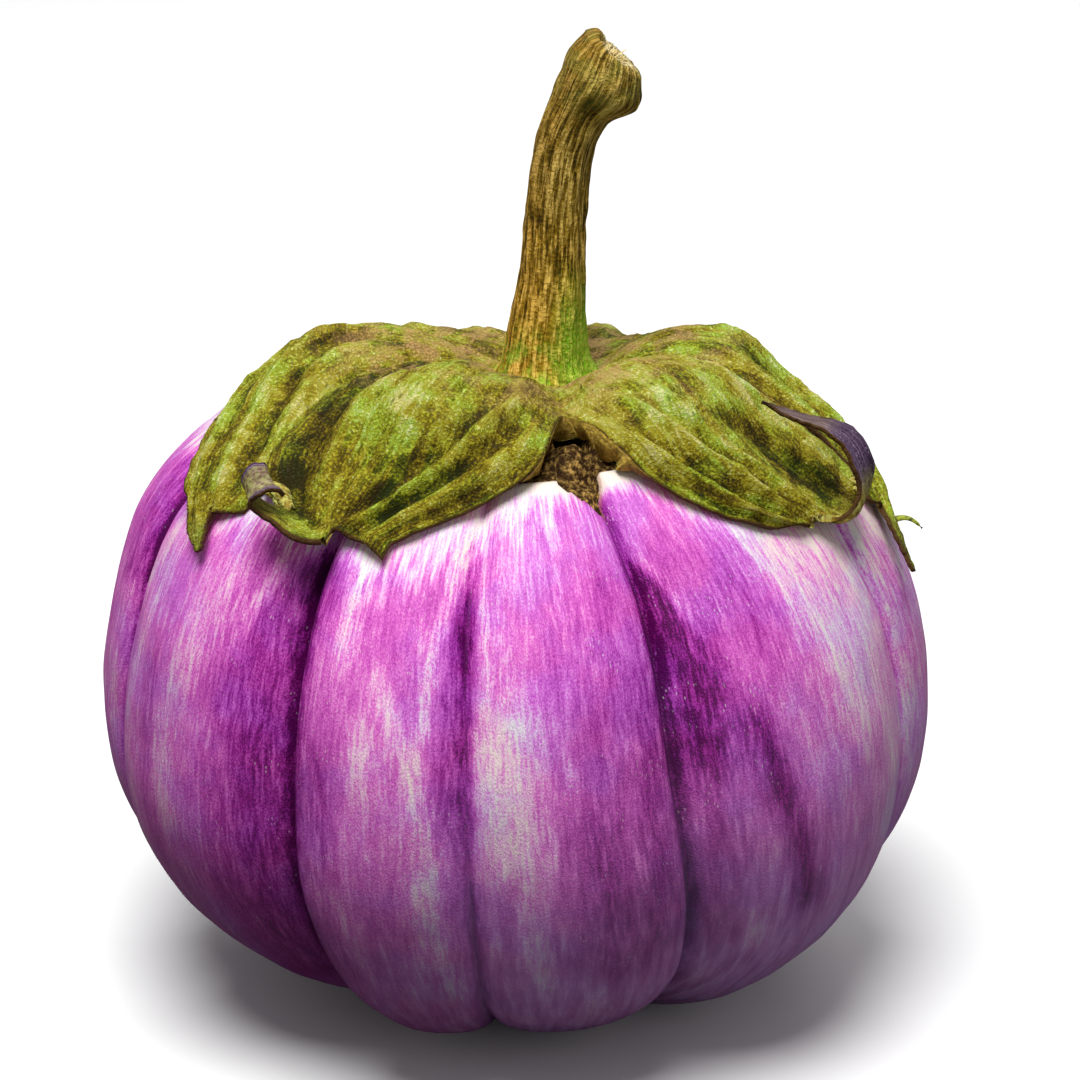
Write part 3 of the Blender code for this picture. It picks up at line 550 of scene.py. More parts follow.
# A sepal parts from its neighbours at the azimuths before and after, and has its midrib at a third. A station
# is (arc, azimuth of the midrib, reach before it, reach after it), and a hump (height, arc, spread, side).
# Lifts say how far the two margins rise, and cuts how much sooner they end. The tip starts at tipPlace, in
# twelfths of the blade from its middle, and takes tipColumns of its columns. Its path is (outward, sideways,
# away from the skin, half the width). tipFold is how far its sides fold up, tipPurple its colour from green
# to purple, and tipTwist its turn in degrees.
sepalRow = namedtuple(
    "sepalRow",
    "before after midrib stations hump lifts cuts tipPlace tipPath tipFold tipPurple tipColumns tipTwist",
)
sepals = tuple(sepalRow(*row) for row in (
    (-62.0, 9.0, -27.0,
     ((37, -28.0, 20.0, 19.0), (42, -29.0, 18.0, 15.0), (46, -30.0, 13.5, 11.0), (48.5, -30.5, 9.0, 8.2)),
     (5.6, 27, 11, -0.1), (2.2, 1.2), (2.0, -2.6), -3,
     ((0, 0, 0, 4.5), (0.8, -0.9, 0.6, 3.4), (0.0, -2.8, 1.0, 2.8), (-1.2, -4.8, 1.2, 2.8),
      (-2.2, -6.6, 2.5, 2.9), (-2.5, -6.1, 4.3, 2.9), (-2.7, -4.6, 4.6, 2.8), (-3.0, -4.0, 3.2, 2.5)),
     0.4, 0.35, 30, 0.0),
    (9.0, 75.0, 42.0,
     ((36.5, 43.0, 12.5, 20.5), (43, 48.0, 11.5, 20.0), (48, 53.0, 9.5, 18.6), (52.5, 57.5, 5.0, 15.0)),
     (4.0, 25, 12, 0.1), (1.8, 0.3), (1.5, 5.0), 2,
     ((0, 0, 0, 8.6), (2.2, -0.3, 1.5, 5.2), (0.9, 0.8, 4.5, 3.2), (-2.8, 1.8, 6.8, 2.3),
      (-5.9, 3.1, 7.3, 2.0), (-9.2, 3.2, 6.4, 1.4), (-11.7, 3.0, 5.0, 1.0), (-14.1, 3.1, 3.6, 0.8),
      (-17.7, 2.9, 2.4, 0.25)), 1.1, 1.0, 40, 50.0),
    (75.0, 125.0, 100.0,
     ((37, 97.0, 12.0, 12.5), (45, 92.0, 10.3, 10.5), (52, 86.5, 8.0, 8.0), (58, 82.0, 4.8, 5.5)),
     (4.0, 25, 13, 0.0), (0.3, 0.3), (2.5, 2.5), 0,
     ((0, 0, 0, 2.6), (3.7, -1.2, 0.2, 2.1), (7.6, -2.2, 0.3, 1.3), (11.4, -2.7, 0.4, 0.5)),
     0.3, 0.1, 30, 0.0),
    (125.0, 187.0, 156.0,
     ((37, 156.0, 15.0, 15.0), (44, 155.0, 12.5, 12.0), (50, 153.0, 8.0, 8.0), (53, 152.0, 4.5, 4.5)),
     (1.5, 22, 11, 0.8), (0.3, 0.3), (3.0, 3.0), 0,
     ((0, 0, 0, 2.3), (3.0, 0.5, 0.5, 1.9), (6.5, 1.5, 2.5, 1.4), (8.5, 2.5, 6.0, 0.5)), 0.5, 0.6, 30, 0.0),
    (187.0, 248.0, 218.0,
     ((37, 217.0, 15.0, 15.0), (43, 215.0, 12.5, 12.5), (48, 213.0, 8.5, 8.5), (51, 212.0, 4.5, 4.5)),
     (0.9, 22, 11, -0.1), (0.3, 0.3), (3.0, 3.0), 0,
     ((0, 0, 0, 2.3), (3.0, -1.0, 0.4, 1.9), (5.5, -3.5, 2.0, 1.4), (6.5, -7.0, 4.0, 0.5)), 0.5, 0.4, 30, 0.0),
    (248.0, 298.0, 273.0,
     ((36, 282.5, 11.5, 15.5), (42, 292.0, 9.0, 13.5), (48, 299.0, 6.8, 9.0), (52, 302.0, 4.8, 5.6)),
     (5.2, 25, 13, 0.0), (0.3, -0.5), (2.0, 2.5), 0,
     ((0, 0, 0, 2.5), (2.5, 1.0, -0.1, 1.9), (4.5, 1.8, -0.3, 1.2), (6.5, 2.4, -0.5, 0.5)), 0.3, 0.2, 30, 0.0),
))


def calyxThickness(arc):
    shape = calyxShape
    return mix(shape["middleThickness"], shape["bladeThickness"], ramp(*shape["thinning"], arc))


def bladeReach(sepal, arc, side):
    # azimuth of the blade at side, from -1 at its first margin over 0 at the midrib to 1, and its half width
    before, after, midrib, stations = sepal[:4]
    fused = calyxShape["fusedArc"]
    fusedRadius = outline(polarAt(fused))[0]
    reaches = [math.radians(turn) * fusedRadius for turn in (midrib - before, after - midrib)]
    first = (fused, midrib, *reaches)
    middle, widthBefore, widthAfter = follow((first,) + stations, np.maximum(arc, fused))
    radius = np.maximum(outline(polarAt(arc))[0], 0.5)
    width = np.where(side < 0.0, widthBefore, widthAfter)
    free = middle + np.degrees(side * width / radius)
    joined = mix(midrib, np.where(side < 0.0, before, after), np.abs(side))
    fusedWidth = np.radians(np.where(side < 0.0, midrib - before, after - midrib)) * radius
    return np.where(arc <= fused, joined, free), np.where(arc <= fused, fusedWidth, width), joined


def bladeHeight(sepal, arc, side):
    humpHeight, humpArc, humpSpread, humpSide = sepal.hump
    across = np.maximum(0.0, 1.0 - np.abs(side - humpSide * (1.0 - np.abs(side))) ** 2)
    height = calyxShape["skinGap"] + calyxThickness(arc)
    height = height + humpHeight * bell(arc - humpArc, humpSpread) * across
    lift = np.where(side < 0.0, *sepal.lifts)
    settled = lift * (1.0 - ramp(*calyxShape["gapSettling"], arc))
    if sepal is sepals[0]:
        lowLift, curlStart, curlEnd = calyxShape["curlLift"]
        lift = np.where(side < 0.0, mix(lowLift, lift, ramp(curlStart, curlEnd, arc)), settled)
    if sepal is sepals[1]:
        lift = np.where(side < 0.0, settled, lift)
    fused = calyxShape["fusedArc"]
    height = height + lift * side**2 * ramp(fused, fused + calyxShape["liftLength"], arc)
    threeRibs = (0.5 + 0.5 * np.cos(3.0 * math.pi * side)) * (1.0 - side**4)
    return height + calyxShape["ribHeight"] * ramp(*calyxShape["ribStart"], arc) * threeRibs


def bladeArc(sepal, share, side):
    cut = np.where(side < 0.0, *sepal.cuts)
    return mix(calyxShape["fusedArc"], sepal.stations[-1][0] - cut * side * side, share)


def bladePoint(sepal, arc, side, extra=0.0):
    azimuth = bladeReach(sepal, arc, side)[0]
    points = place(polarAt(arc), azimuth, bladeHeight(sepal, arc, side) + extra)
    seat = ramp(calyxShape["seatArc"], calyxShape["seatArc"] + calyxShape["seatBlend"], arc)
    points[..., 2] = mix(calyxShape["seatHeight"] + extra * ramp(6.5, 8.0, arc), points[..., 2], seat)
    return points


def bladeGrid(sepal, number):
    # points of a blade's upper face in rows, with their thickness and what the colours need
    shape = calyxShape
    sides = np.linspace(-1.0, 1.0, shape["columns"] + 1)[None, :]
    fusedShares = (np.arange(shape["fusedRows"]) / shape["fusedRows"])[:, None]
    fusedArcs = shape["fusedArc"] * fusedShares + 0.0 * sides
    shares = np.linspace(0.0, 1.0, shape["bladeRows"] + 1)[:, None]
    arcs = np.concatenate((fusedArcs, bladeArc(sepal, shares, sides)))
    sides = sides + 0.0 * arcs
    width, joined = bladeReach(sepal, arcs, sides)[1:]
    plain = bladePoint(sepal, arcs, sides)
    wander = roughly(np.stack((sides * 2.0, arcs / 9.0, 0.0 * arcs), axis=-1), 1.0, shape["seed"] + number)
    veins = np.zeros_like(arcs)
    for order, vein in enumerate(shape["veins"]):
        strength = (1.0, 0.6, 0.85)[(order + number) % 3]
        veins = np.maximum(veins, strength * bell((sides - vein + 0.05 * wander) * width, shape["veinWidth"]))
    veins = veins * ramp(15.0, 25.0, arcs) * (1.0 - sides**6)
    relief = np.zeros_like(arcs)
    for path, foldWidth, height in folds[number]:
        starts = [spot[0] for spot in path]
        middle = np.interp(arcs, starts, [spot[1] for spot in path])
        along = ramp(starts[0] - 2.0, starts[0] + 4.0, arcs)
        along = along * (1.0 - ramp(starts[-1] - 2.0, starts[-1] + 3.0, arcs))
        relief = relief + height * along * bell((sides - middle + 0.03 * wander) * width, foldWidth)
    lumps = roughly(plain, 7.0, shape["seed"] + 2.0)
    crumples = roughly(plain, 1.9, shape["seed"] + 5.0)
    grit = roughly(plain, 0.95, shape["seed"] + 7.0)
    calm = 1.0 - ramp(0.0, 3.0, shape["seatArc"] + 1.5 - arcs)
    extra = shape["lumpHeight"] * lumps + shape["crumpleHeight"] * crumples + shape["gritHeight"] * grit
    extra = shape["veinHeight"] * veins + extra * calm + relief
    points = bladePoint(sepal, arcs, sides, extra)
    turn = np.radians(joined)
    grain = np.stack((26.0 * np.sin(turn), -26.0 * np.cos(turn), arcs), axis=-1)
    sideWay = (1.0 - np.abs(sides)) * width
    endWay = bladeArc(sepal, 1.0, sides) - arcs
    inTip = np.abs(sides - sepal.tipPlace / 6.0) < sepal.tipColumns / shape["columns"] - 0.02
    endWay = endWay + 9.0 * inTip
    free = ramp(shape["fusedArc"], shape["fusedArc"] + 3.0, arcs)
    edge = bell(np.minimum(sideWay, endWay), 0.6) * free
    thickness = calyxThickness(arcs) * (1.0 - 0.25 * edge)
    if number < 2:  # beside the front gap the margins reach down to the fruit
        toGap = sides if number == 0 else -sides
        deep = bladeHeight(sepal, arcs, sides) + extra + shape["gapReach"]
        share = ramp(*shape["gapSides"], toGap) * ramp(shape["fusedArc"] - 5.0, shape["fusedArc"], arcs)
        share = share * (1.0 - ramp(*shape["gapEnd"], arcs))
        thickness = mix(thickness, np.clip(deep, *shape["gapThickness"]), share)
    # painted shade towards the sepal's end and its left margin
    shade, endPaintedShade, leftPaintedShade = sepalShades[number]
    # the tone from the relief is painted shade in the valleys and painted light on the ridges
    fold = np.clip(relief / shape["foldToneDepth"], -0.75, 1.0) + shade
    fold = fold + endPaintedShade * ramp(*shape["shadeArcs"], arcs) + leftPaintedShade * ramp(*shape["shadeSides"], -sides)
    return points, thickness, {"grain": grain, "vein": veins, "edge": edge, "tip": 0.0 * arcs, "fold": fold}


def tipGrid(sepal, blade):
    # points of a tip's upper face; the first row is part of the blade's end
    points, facts = blade[0], blade[2]
    shape, columns = calyxShape, sepal.tipColumns
    first = (6 + sepal.tipPlace) * (shape["columns"] // 12) - columns // 2
    hinged = slice(first, first + columns + 1)
    edgePoints = points[-1, hinged]
    middle = sepal.tipPlace / 6.0
    hinge = float(bladeArc(sepal, 1.0, np.array(middle)))
    spot = lambda arc, side: Vector(bladePoint(sepal, np.array(arc), np.array(side)))
    start = spot(hinge, middle)
    outward = (start - spot(hinge - 1.0, middle)).normalized()
    across = spot(hinge, middle + 0.1) - spot(hinge, middle - 0.1)
    away = outward.cross(across.normalized()).normalized() * -1.0
    if away.dot(start - Vector((0.0, 0.0, fruitShape["equatorHeight"]))) < 0.0:
        away.negate()
    across = (across - across.dot(outward) * outward).normalized()
    basis = Matrix((outward, across, away)).transposed()
    path = [(float(number),) + row for number, row in enumerate(sepal.tipPath)]
    sides = np.linspace(-1.0, 1.0, columns + 1)
    rows, last, lastAcross, lastPoint = [edgePoints], outward, across, start
    centre, startHalf = np.array(start), sepal.tipPath[0][3]
    lengths = [0.0]
    for step in range(1, shape["tipRows"] + 1):
        share = step / shape["tipRows"]
        out, sideways, up, half = follow(path, (len(path) - 1) * share)
        point = start + basis @ Vector((out, sideways, up))
        ahead = (point - lastPoint).normalized()
        acrossNow = last.rotation_difference(ahead) @ lastAcross
        acrossNow = (acrossNow - acrossNow.dot(ahead) * ahead).normalized()
        upNow = np.array(acrossNow.cross(ahead))
        hold = float(1.0 - ramp(0.0, 3.0 / 7.0, share))
        ragged = 1.0 + (0.06 * math.sin(step * 0.9) + 0.04 * math.sin(step * 2.1)) * share
        fold = sepal.tipFold * ramp(0.1, 0.5, share) * half / 3.0
        twist = math.radians(sepal.tipTwist) * float(ramp(0.1, 0.5, share))
        wide = math.cos(twist) * np.array(acrossNow) + math.sin(twist) * upNow
        deep = math.cos(twist) * upNow - math.sin(twist) * np.array(acrossNow)
        straight = np.array(point) + np.outer(sides * half * ragged, wide)
        straight = straight + np.outer(fold * sides**2, deep)
        kept = edgePoints - centre - np.outer(sides * startHalf, np.array(across))
        rows.append(straight + kept * hold)
        lengths.append(lengths[-1] + (point - lastPoint).length)
        last, lastAcross, lastPoint = ahead, acrossNow, point
    grid = np.stack(rows)
    share = np.linspace(0.0, 1.0, len(rows))[:, None] + 0.0 * sides
    long = np.array(lengths)[:, None]
    grain = facts["grain"][-1, hinged][None] + np.stack((0.0 * long, 0.0 * long, long), axis=-1)
    grid = grid + (0.12 * roughly(grid, 1.3, 5.0) * ramp(0.1, 0.4, share))[..., None]
    thick = mix(shape["bladeThickness"], shape["tipThickness"], share)
    startEdge = facts["edge"][-1, hinged][None]
    narrow = follow(path, (len(path) - 1) * share)[3]
    edge = bell((1.0 - np.abs(sides))[None] * narrow, 0.5)
    edge = np.maximum(startEdge * (1.0 - ramp(0.0, 0.2, share)), edge)
    edge = np.where(share > 0.0, edge, startEdge)
    tip = (ramp(0.08, 0.5, share) + 0.5 * ramp(0.5, 0.75, share)) * sepal.tipPurple
    return grid, thick, {"grain": grain, "vein": 0.0 * share, "edge": edge, "tip": tip, "fold": 0.0 * share}


sheetFacts = ("vein", "edge", "tip", "fold")


def addGrid(shape, layers, grid):
    # a sheet of points, with its facts kept in the mesh's layers
    points, thickness, facts = grid
    rows, columns = points.shape[:2]
    verts = []
    for row in range(rows):
        line = []
        for column in range(columns):
            vert = shape.verts.new(points[row, column])
            vert[layers["weights"]][0] = float(thickness[row, column]) / calyxShape["shellThickness"]
            vert[layers["grain"]] = Vector(facts["grain"][row, column])
            for label in sheetFacts:
                vert[layers[label]] = float(facts[label][row, column])
            line.append(vert)
        verts.append(line)
    for row in range(rows - 1):
        for column in range(columns - 1):
            shape.faces.new((verts[row][column], verts[row + 1][column],
                             verts[row + 1][column + 1], verts[row][column + 1]))


def objectFrom(shape, name):
    # a smooth object from a shape in millimetres
    for vert in shape.verts:
        vert.co = (vert.co + Vector(standShift)) * mm
    mesh = bpy.data.meshes.new(name)
    shape.to_mesh(mesh)
    shape.free()
    mesh.shade_smooth()
    return addObject(name, mesh)


def makeCalyx():
    shape = bmesh.new()
    found = shape.verts.layers
    layers = {"weights": found.deform.verify(), "grain": found.float_vector.new("grain")}
    for label in sheetFacts:
        layers[label] = found.float.new(label)
    for number, sepal in enumerate(sepals):
        blade = bladeGrid(sepal, number)
        addGrid(shape, layers, blade)
        addGrid(shape, layers, tipGrid(sepal, blade))
    bmesh.ops.remove_doubles(shape, verts=shape.verts, dist=0.01)
    bmesh.ops.dissolve_degenerate(shape, edges=shape.edges, dist=0.001)
    shape.normal_update()
    upward = sum(face.normal.z * face.calc_area() for face in shape.faces)
    if upward < 0.0:
        bmesh.ops.reverse_faces(shape, faces=shape.faces)
    made = objectFrom(shape, "leafyCalyx")
    made.vertex_groups.new(name="flesh")
    shell = made.modifiers.new("flesh", "SOLIDIFY")
    shell.thickness = calyxShape["shellThickness"] * mm
    shell.offset = -1.0
    shell.vertex_group = "flesh"
    shell.material_offset = 1
    shell.material_offset_rim = 2
    return made


leafyCalyx = makeCalyx()
print("calyx made:", len(leafyCalyx.data.polygons), "faces on its upper side")

# rows of (height above the seat, shift to the right, tilt to the right, radius)
stemShape = {
    "rings": (
        (0.0, 0.1, 0.0, 7.7),
        (1.2, 0.1, 0.0, 6.7),
        (2.9, 0.1, 0.0, 6.0),
        (6.3, 0.25, 2.0, 5.5),
        (10.5, 0.6, 4.0, 5.0),
        (16.0, 1.1, 4.0, 4.5),
        (21.5, 1.4, 4.0, 4.3),
        (27.0, 1.8, 6.0, 4.2),
        (31.5, 2.4, 11.0, 4.1),
        (35.5, 3.4, 18.0, 4.1),
        (38.9, 5.0, 25.0, 4.3),
        (42.9, 7.3, 32.0, 5.3),
        (46.8, 8.6, 39.5, 4.8),
    ),
    "ridges": 7,
    "ridgeHeight": 0.03,
    "footHeight": 10.0,
    "footLobes": 6,
    "footLobeHeight": 0.05,
    "heelStart": (38.0, 42.2),
    "heelReach": 1.5,
    "cutLip": 0.5,
    "cutHollow": 0.8,
    "leftDome": 0.9,
    "leftTaper": (0.16, 3.0),  # how much slimmer the left side gets, over which last stretch
    "footShare": 0.06,
    "cutShare": 0.90,
    "sunk": 0.5,  # how deep the foot sits in the calyx
    "striation": 0.2,  # how deep the fine lengthwise furrows are
    "lumpHeight": 0.22,
    "lumpStart": (36.0, 42.0),  # the lumps double in height between these
    "footRoughness": (0.8, 2.5),  # its height, and up to where it reaches
    "tornness": (0.7, 0.35),  # how uneven the cut's lip and its face are
    "grainRadius": 4.5,
    "columns": 168,
    "rows": 280,
    "seed": 2.9,
}


def makeStem():
    shape = stemShape
    down, turn = np.meshgrid(
        np.linspace(0.0, 1.0, shape["rows"] + 1)[1:-1],
        np.arange(shape["columns"]) / shape["columns"] * 2.0 * math.pi,
        indexing="ij",
    )
    foot, cut = shape["footShare"], shape["cutShare"]
    top = shape["rings"][-1][0]
    level = top * np.clip((down - foot) / (cut - foot), 0.0, 1.0)
    shift, tilt, radius = follow(shape["rings"], level)
    ridges = shape["ridgeHeight"] * np.cos(shape["ridges"] * turn)
    footLobes = shape["footLobeHeight"] * (1.0 - ramp(0.0, shape["footHeight"], level))
    radius = radius * (1.0 + ridges + footLobes * np.cos(shape["footLobes"] * turn))
    rightward = np.maximum(0.0, np.cos(turn))
    radius = radius + shape["heelReach"] * ramp(*shape["heelStart"], level) * rightward**2
    wide = shape["grainRadius"]
    grain = np.stack((wide * np.cos(turn), wide * np.sin(turn), level), axis=-1)
    furrows = roughly(grain * (1.0, 1.0, 0.13), 0.75, shape["seed"])
    lumps = roughly(grain * (1.0, 1.0, 0.6), 2.6, shape["seed"] + 4.0)
    footHeight, footEnd = shape["footRoughness"]
    footNoise = roughly(grain, 1.8, shape["seed"] + 2.0) * (1.0 - ramp(0.0, footEnd, level))
    radius = radius + footHeight * footNoise + shape["striation"] * furrows
    radius = radius + shape["lumpHeight"] * lumps * (1.0 + ramp(*shape["lumpStart"], level))
    inward = np.clip((down - cut) / (1.0 - cut), 0.0, 1.0)
    radius = np.where(down < foot, radius * down / foot, radius * (1.0 - inward))
    leftward = np.maximum(0.0, -np.cos(turn))
    taper, taperLength = shape["leftTaper"]
    radius = radius * (1.0 - taper * leftward * ramp(top - taperLength, top, level))
    torn = roughly(grain, 1.1, shape["seed"] + 7.0)
    lipTorn, faceTorn = shape["tornness"]
    lip = shape["cutLip"] * np.sin(math.pi * np.minimum(1.0, 2.0 * inward)) * (1.0 + lipTorn * torn)
    lift = lip - shape["cutHollow"] * ramp(0.3, 1.0, inward) + faceTorn * torn * ramp(0.2, 0.5, inward)
    lift = lift + shape["leftDome"] * leftward * np.sin(math.pi * inward)
    lean = np.radians(tilt)
    x = shift + np.cos(lean) * radius * np.cos(turn) + np.sin(lean) * lift
    y = radius * np.sin(turn)
    z = level - np.sin(lean) * radius * np.cos(turn) + np.cos(lean) * lift
    points = np.stack((x, y, z), axis=-1)
    rows, columns = down.shape
    ends = [(shift[0, 0], 0.0, 0.0), tuple(points[-1].mean(axis=0))]
    points = np.concatenate((points.reshape(-1, 3), ends))
    points = points + (fruitShape["crownShift"], 0.0, calyxShape["seatHeight"] - shape["sunk"])
    cutFace = ramp(0.1, 0.3, inward) * ramp(-0.7, 0.1, np.cos(turn))
    attributes = {
        "grain": np.concatenate((grain.reshape(-1, 3), [(0.0, 0.0, 0.0), (0.0, 0.0, top)])),
        "furrow": np.concatenate((furrows.ravel(), [0.0, 0.0])),
        "cut": np.concatenate((cutFace.ravel(), [0.0, 1.0])),
        "height": np.concatenate(((level / top).ravel(), [0.0, 1.0])),
    }
    faces = [tuple(reversed(face)) for face in ringFaces(rows, columns, rows * columns)]
    return meshFrom("cutStem", points, faces, attributes, standShift)


cutStem = makeStem()
print("stem made:", len(cutStem.data.polygons), "faces")


def cutFrame():
    # middle of the cut, the way across it to the right and the way out of it
    height, shift, tilt, radius = stemShape["rings"][-1]
    lean = math.radians(tilt)
    up = height + calyxShape["seatHeight"] - stemShape["sunk"]
    middle = Vector((shift + fruitShape["crownShift"], 0.0, up))
    across = Vector((math.cos(lean), 0.0, -math.sin(lean)))
    return middle, across, Vector((math.sin(lean), 0.0, math.cos(lean))), radius


def addSpike(shape, path, widths, sides=6):
    # a tapering strip of flesh or fibre along a path
    rings = []
    for number, point in enumerate(path):
        ahead = (path[min(number + 1, len(path) - 1)] - path[max(number - 1, 0)]).normalized()
        across = ahead.orthogonal().normalized()
        other = ahead.cross(across)
        ring = []
        for side in range(sides):
            turn = 2.0 * math.pi * side / sides
            away = across * math.cos(turn) + other * math.sin(turn) * 0.6
            ring.append(shape.verts.new(point + away * widths[number]))
        rings.append(ring)
    for before, after in zip(rings, rings[1:]):
        for side in range(sides):
            beside = (side + 1) % sides
            shape.faces.new((before[side], before[beside], after[beside], after[side]))
    shape.faces.new(list(reversed(rings[0])))
    shape.faces.new(rings[-1])


def finishSpikes(shape, name):
    bmesh.ops.recalc_face_normals(shape, faces=shape.faces)
    return objectFrom(shape, name)


fibreShape = {
    "count": 34,
    "length": (0.3, 1.0),
    "width": 0.2,
    "seed": 31,
}


def makeTornFibres():
    middle, across, ahead, radius = cutFrame()
    chance = random.Random(fibreShape["seed"])
    shape = bmesh.new()
    for number in range(fibreShape["count"]):
        turn = chance.uniform(-1.7, 1.5)
        out = radius * chance.uniform(0.25, 0.86)
        foot = middle + across * out * math.cos(turn) + Vector((0.0, out * math.sin(turn), 0.0)) - ahead * 0.2
        length = chance.uniform(*fibreShape["length"])
        bend = Vector((chance.uniform(-0.5, 0.6), chance.uniform(-0.6, 0.5), chance.uniform(-0.1, 0.4)))
        shares = (0.0, 0.35, 0.7, 1.0)
        path = [foot + ahead * length * share + bend * length * share * share for share in shares]
        wide = fibreShape["width"] * chance.uniform(0.7, 1.5)
        addSpike(shape, path, (wide, wide * 0.9, wide * 0.6, wide * 0.15), 5)
    return finishSpikes(shape, "tornFibres")


tornFibres = makeTornFibres()


spikeShape = {
    "root": (57.5, 0.2),  # arc and side on the right-hand sepal
    "shift": (1.3, 0.0, -3.3),
    "length": 4.2,
    "back": -0.4,
    "arch": 0.5,
    "droop": 1.1,
    "widths": (0.55, 0.2),
    "steps": 8,
}


def makeSepalSpike():
    # the thin green hook beside the right-hand sepal's tip
    look = spikeShape
    arc, side = look["root"]
    root = Vector(bladePoint(sepals[2], np.array(arc), np.array(side))) + Vector(look["shift"])
    path, widths = [], []
    for number in range(look["steps"] + 1):
        share = number / look["steps"]
        up = look["arch"] * math.sin(math.pi * share) - look["droop"] * share**3
        path.append(root + Vector((look["length"] * share, look["back"] * share, up)))
        widths.append(mix(*look["widths"], share))
    shape = bmesh.new()
    addSpike(shape, path, widths, 10)
    return finishSpikes(shape, "sepalSpike")


sepalSpike = makeSepalSpike()
print("torn fibres and spike made")


def put(tree, kind, inputs=None, **settings):
    node = tree.nodes.new(kind)
    for name, value in settings.items():
        setattr(node, name, value)
    for name, value in (inputs or {}).items():
        if isinstance(value, bpy.types.NodeSocket):
            tree.links.new(value, node.inputs[name])
        else:
            node.inputs[name].default_value = value
    number = len(tree.nodes)
    node.location = (200 * (number % 9), -230 * (number // 9))
    return node


def calc(tree, operation, *values):
    return put(tree, "ShaderNodeMath", dict(enumerate(values)), operation=operation).outputs[0]


def times(tree, first, second):
    return calc(tree, "MULTIPLY", first, second)


def weigh(tree, base, *parts):
    # the base, and each value times its weight added to it
    for value, weight in parts:
        base = calc(tree, "MULTIPLY_ADD", value, weight, base)
    return base


def spread(tree, value, low, high):
    # 0 to 1 as the value goes from low to high
    return put(tree, "ShaderNodeMapRange", {"Value": value, "From Min": low, "From Max": high},
               interpolation_type="SMOOTHSTEP").outputs["Result"]


def blend(tree, share, first, second, way="MIX"):
    colour = lambda value: value if isinstance(value, bpy.types.NodeSocket) else (*value, 1.0)
    node = put(tree, "ShaderNodeMix", {0: share, 6: colour(first), 7: colour(second)},
               data_type="RGBA", blend_type=way)
    return node.outputs[2]


def tones(tree, value, stops):
    node = put(tree, "ShaderNodeValToRGB", {"Fac": value})
    ramps = node.color_ramp.elements
    while len(ramps) < len(stops):
        ramps.new(1.0)
    for element, (spot, colour) in zip(ramps, stops):
        element.position = spot
        element.color = (*colour, 1.0)
    return node.outputs["Color"]


def fact(tree, name):
    node = put(tree, "ShaderNodeAttribute", attribute_name=name)
    return node.outputs["Vector" if name == "grain" else "Fac"]


def newGroup(name, inputs, outputs):
    tree = bpy.data.node_groups.new(name, "ShaderNodeTree")
    for label, value in inputs.items():
        kind = "NodeSocketVector" if label == "Vector" else "NodeSocketFloat"
        socket = tree.interface.new_socket(label, in_out="INPUT", socket_type=kind)
        if label != "Vector":
            socket.default_value = value
    for label in outputs:
        tree.interface.new_socket(label, in_out="OUTPUT", socket_type="NodeSocketFloat")
    return tree, put(tree, "NodeGroupInput").outputs


def stretched(tree, given):
    # the vector in units of Width, and of Length along its third coordinate
    thin = calc(tree, "DIVIDE", 1.0, given["Width"])
    long = calc(tree, "DIVIDE", 1.0, given["Length"])
    scale = put(tree, "ShaderNodeCombineXYZ", {0: thin, 1: thin, 2: long}).outputs[0]
    return put(tree, "ShaderNodeVectorMath", {0: given["Vector"], 1: scale}, operation="MULTIPLY").outputs[0]


def cloudMask(tree, given, moved, detail, roughness):
    cloud = put(tree, "ShaderNodeTexNoise",
                {"Vector": moved, "Scale": 1.0, "Detail": detail, "Roughness": roughness})
    return spread(tree, cloud.outputs[0], given["Low"], given["High"])


def makeFibreGroup():
    # long narrow streaks along the third coordinate
    inputs = {"Vector": None, "Width": 1.0, "Length": 10.0, "Low": 0.4, "High": 0.6}
    tree, given = newGroup("fibreStreaks", inputs, ["Mask"])
    put(tree, "NodeGroupOutput", {"Mask": cloudMask(tree, given, stretched(tree, given), 2.0, 0.55)})
    return tree


def makeSpeckGroup():
    # small separate marks; Amount is the share of the cells that hold one
    inputs = {"Vector": None, "Width": 1.0, "Length": 1.0, "Amount": 0.3, "Fill": 0.35}
    tree, given = newGroup("specks", inputs, ["Mask"])
    cells = put(tree, "ShaderNodeTexVoronoi", {"Vector": stretched(tree, given), "Scale": 1.0})
    chosen = put(tree, "ShaderNodeSeparateColor", {0: cells.outputs["Color"]}).outputs[0]
    holds = calc(tree, "LESS_THAN", chosen, given["Amount"])
    inside = spread(tree, calc(tree, "DIVIDE", cells.outputs["Distance"], given["Fill"]), 1.0, 0.45)
    put(tree, "NodeGroupOutput", {"Mask": times(tree, holds, inside)})
    return tree


def makeMottleGroup():
    # cloudy patches of a given size
    inputs = {"Vector": None, "Size": 5.0, "Low": 0.35, "High": 0.65}
    tree, given = newGroup("mottle", inputs, ["Value"])
    scale = calc(tree, "DIVIDE", 1.0, given["Size"])
    moved = put(tree, "ShaderNodeVectorMath", {0: given["Vector"], "Scale": scale}, operation="SCALE")
    put(tree, "NodeGroupOutput", {"Value": cloudMask(tree, given, moved.outputs[0], 4.0, 0.6)})
    return tree


fibreGroup, speckGroup, mottleGroup = makeFibreGroup(), makeSpeckGroup(), makeMottleGroup()


def useGroup(tree, group, vector, **inputs):
    return put(tree, "ShaderNodeGroup", {"Vector": vector, **inputs}, node_tree=group).outputs[0]


def fibreMask(tree, vector, width, length, low, high):
    return useGroup(tree, fibreGroup, vector, Width=width, Length=length, Low=low, High=high)


def speckMask(tree, vector, width, length, amount, fill):
    return useGroup(tree, speckGroup, vector, Width=width, Length=length, Amount=amount, Fill=fill)


def mottleMask(tree, vector, size, low=0.35, high=0.65):
    return useGroup(tree, mottleGroup, vector, Size=size, Low=low, High=high)


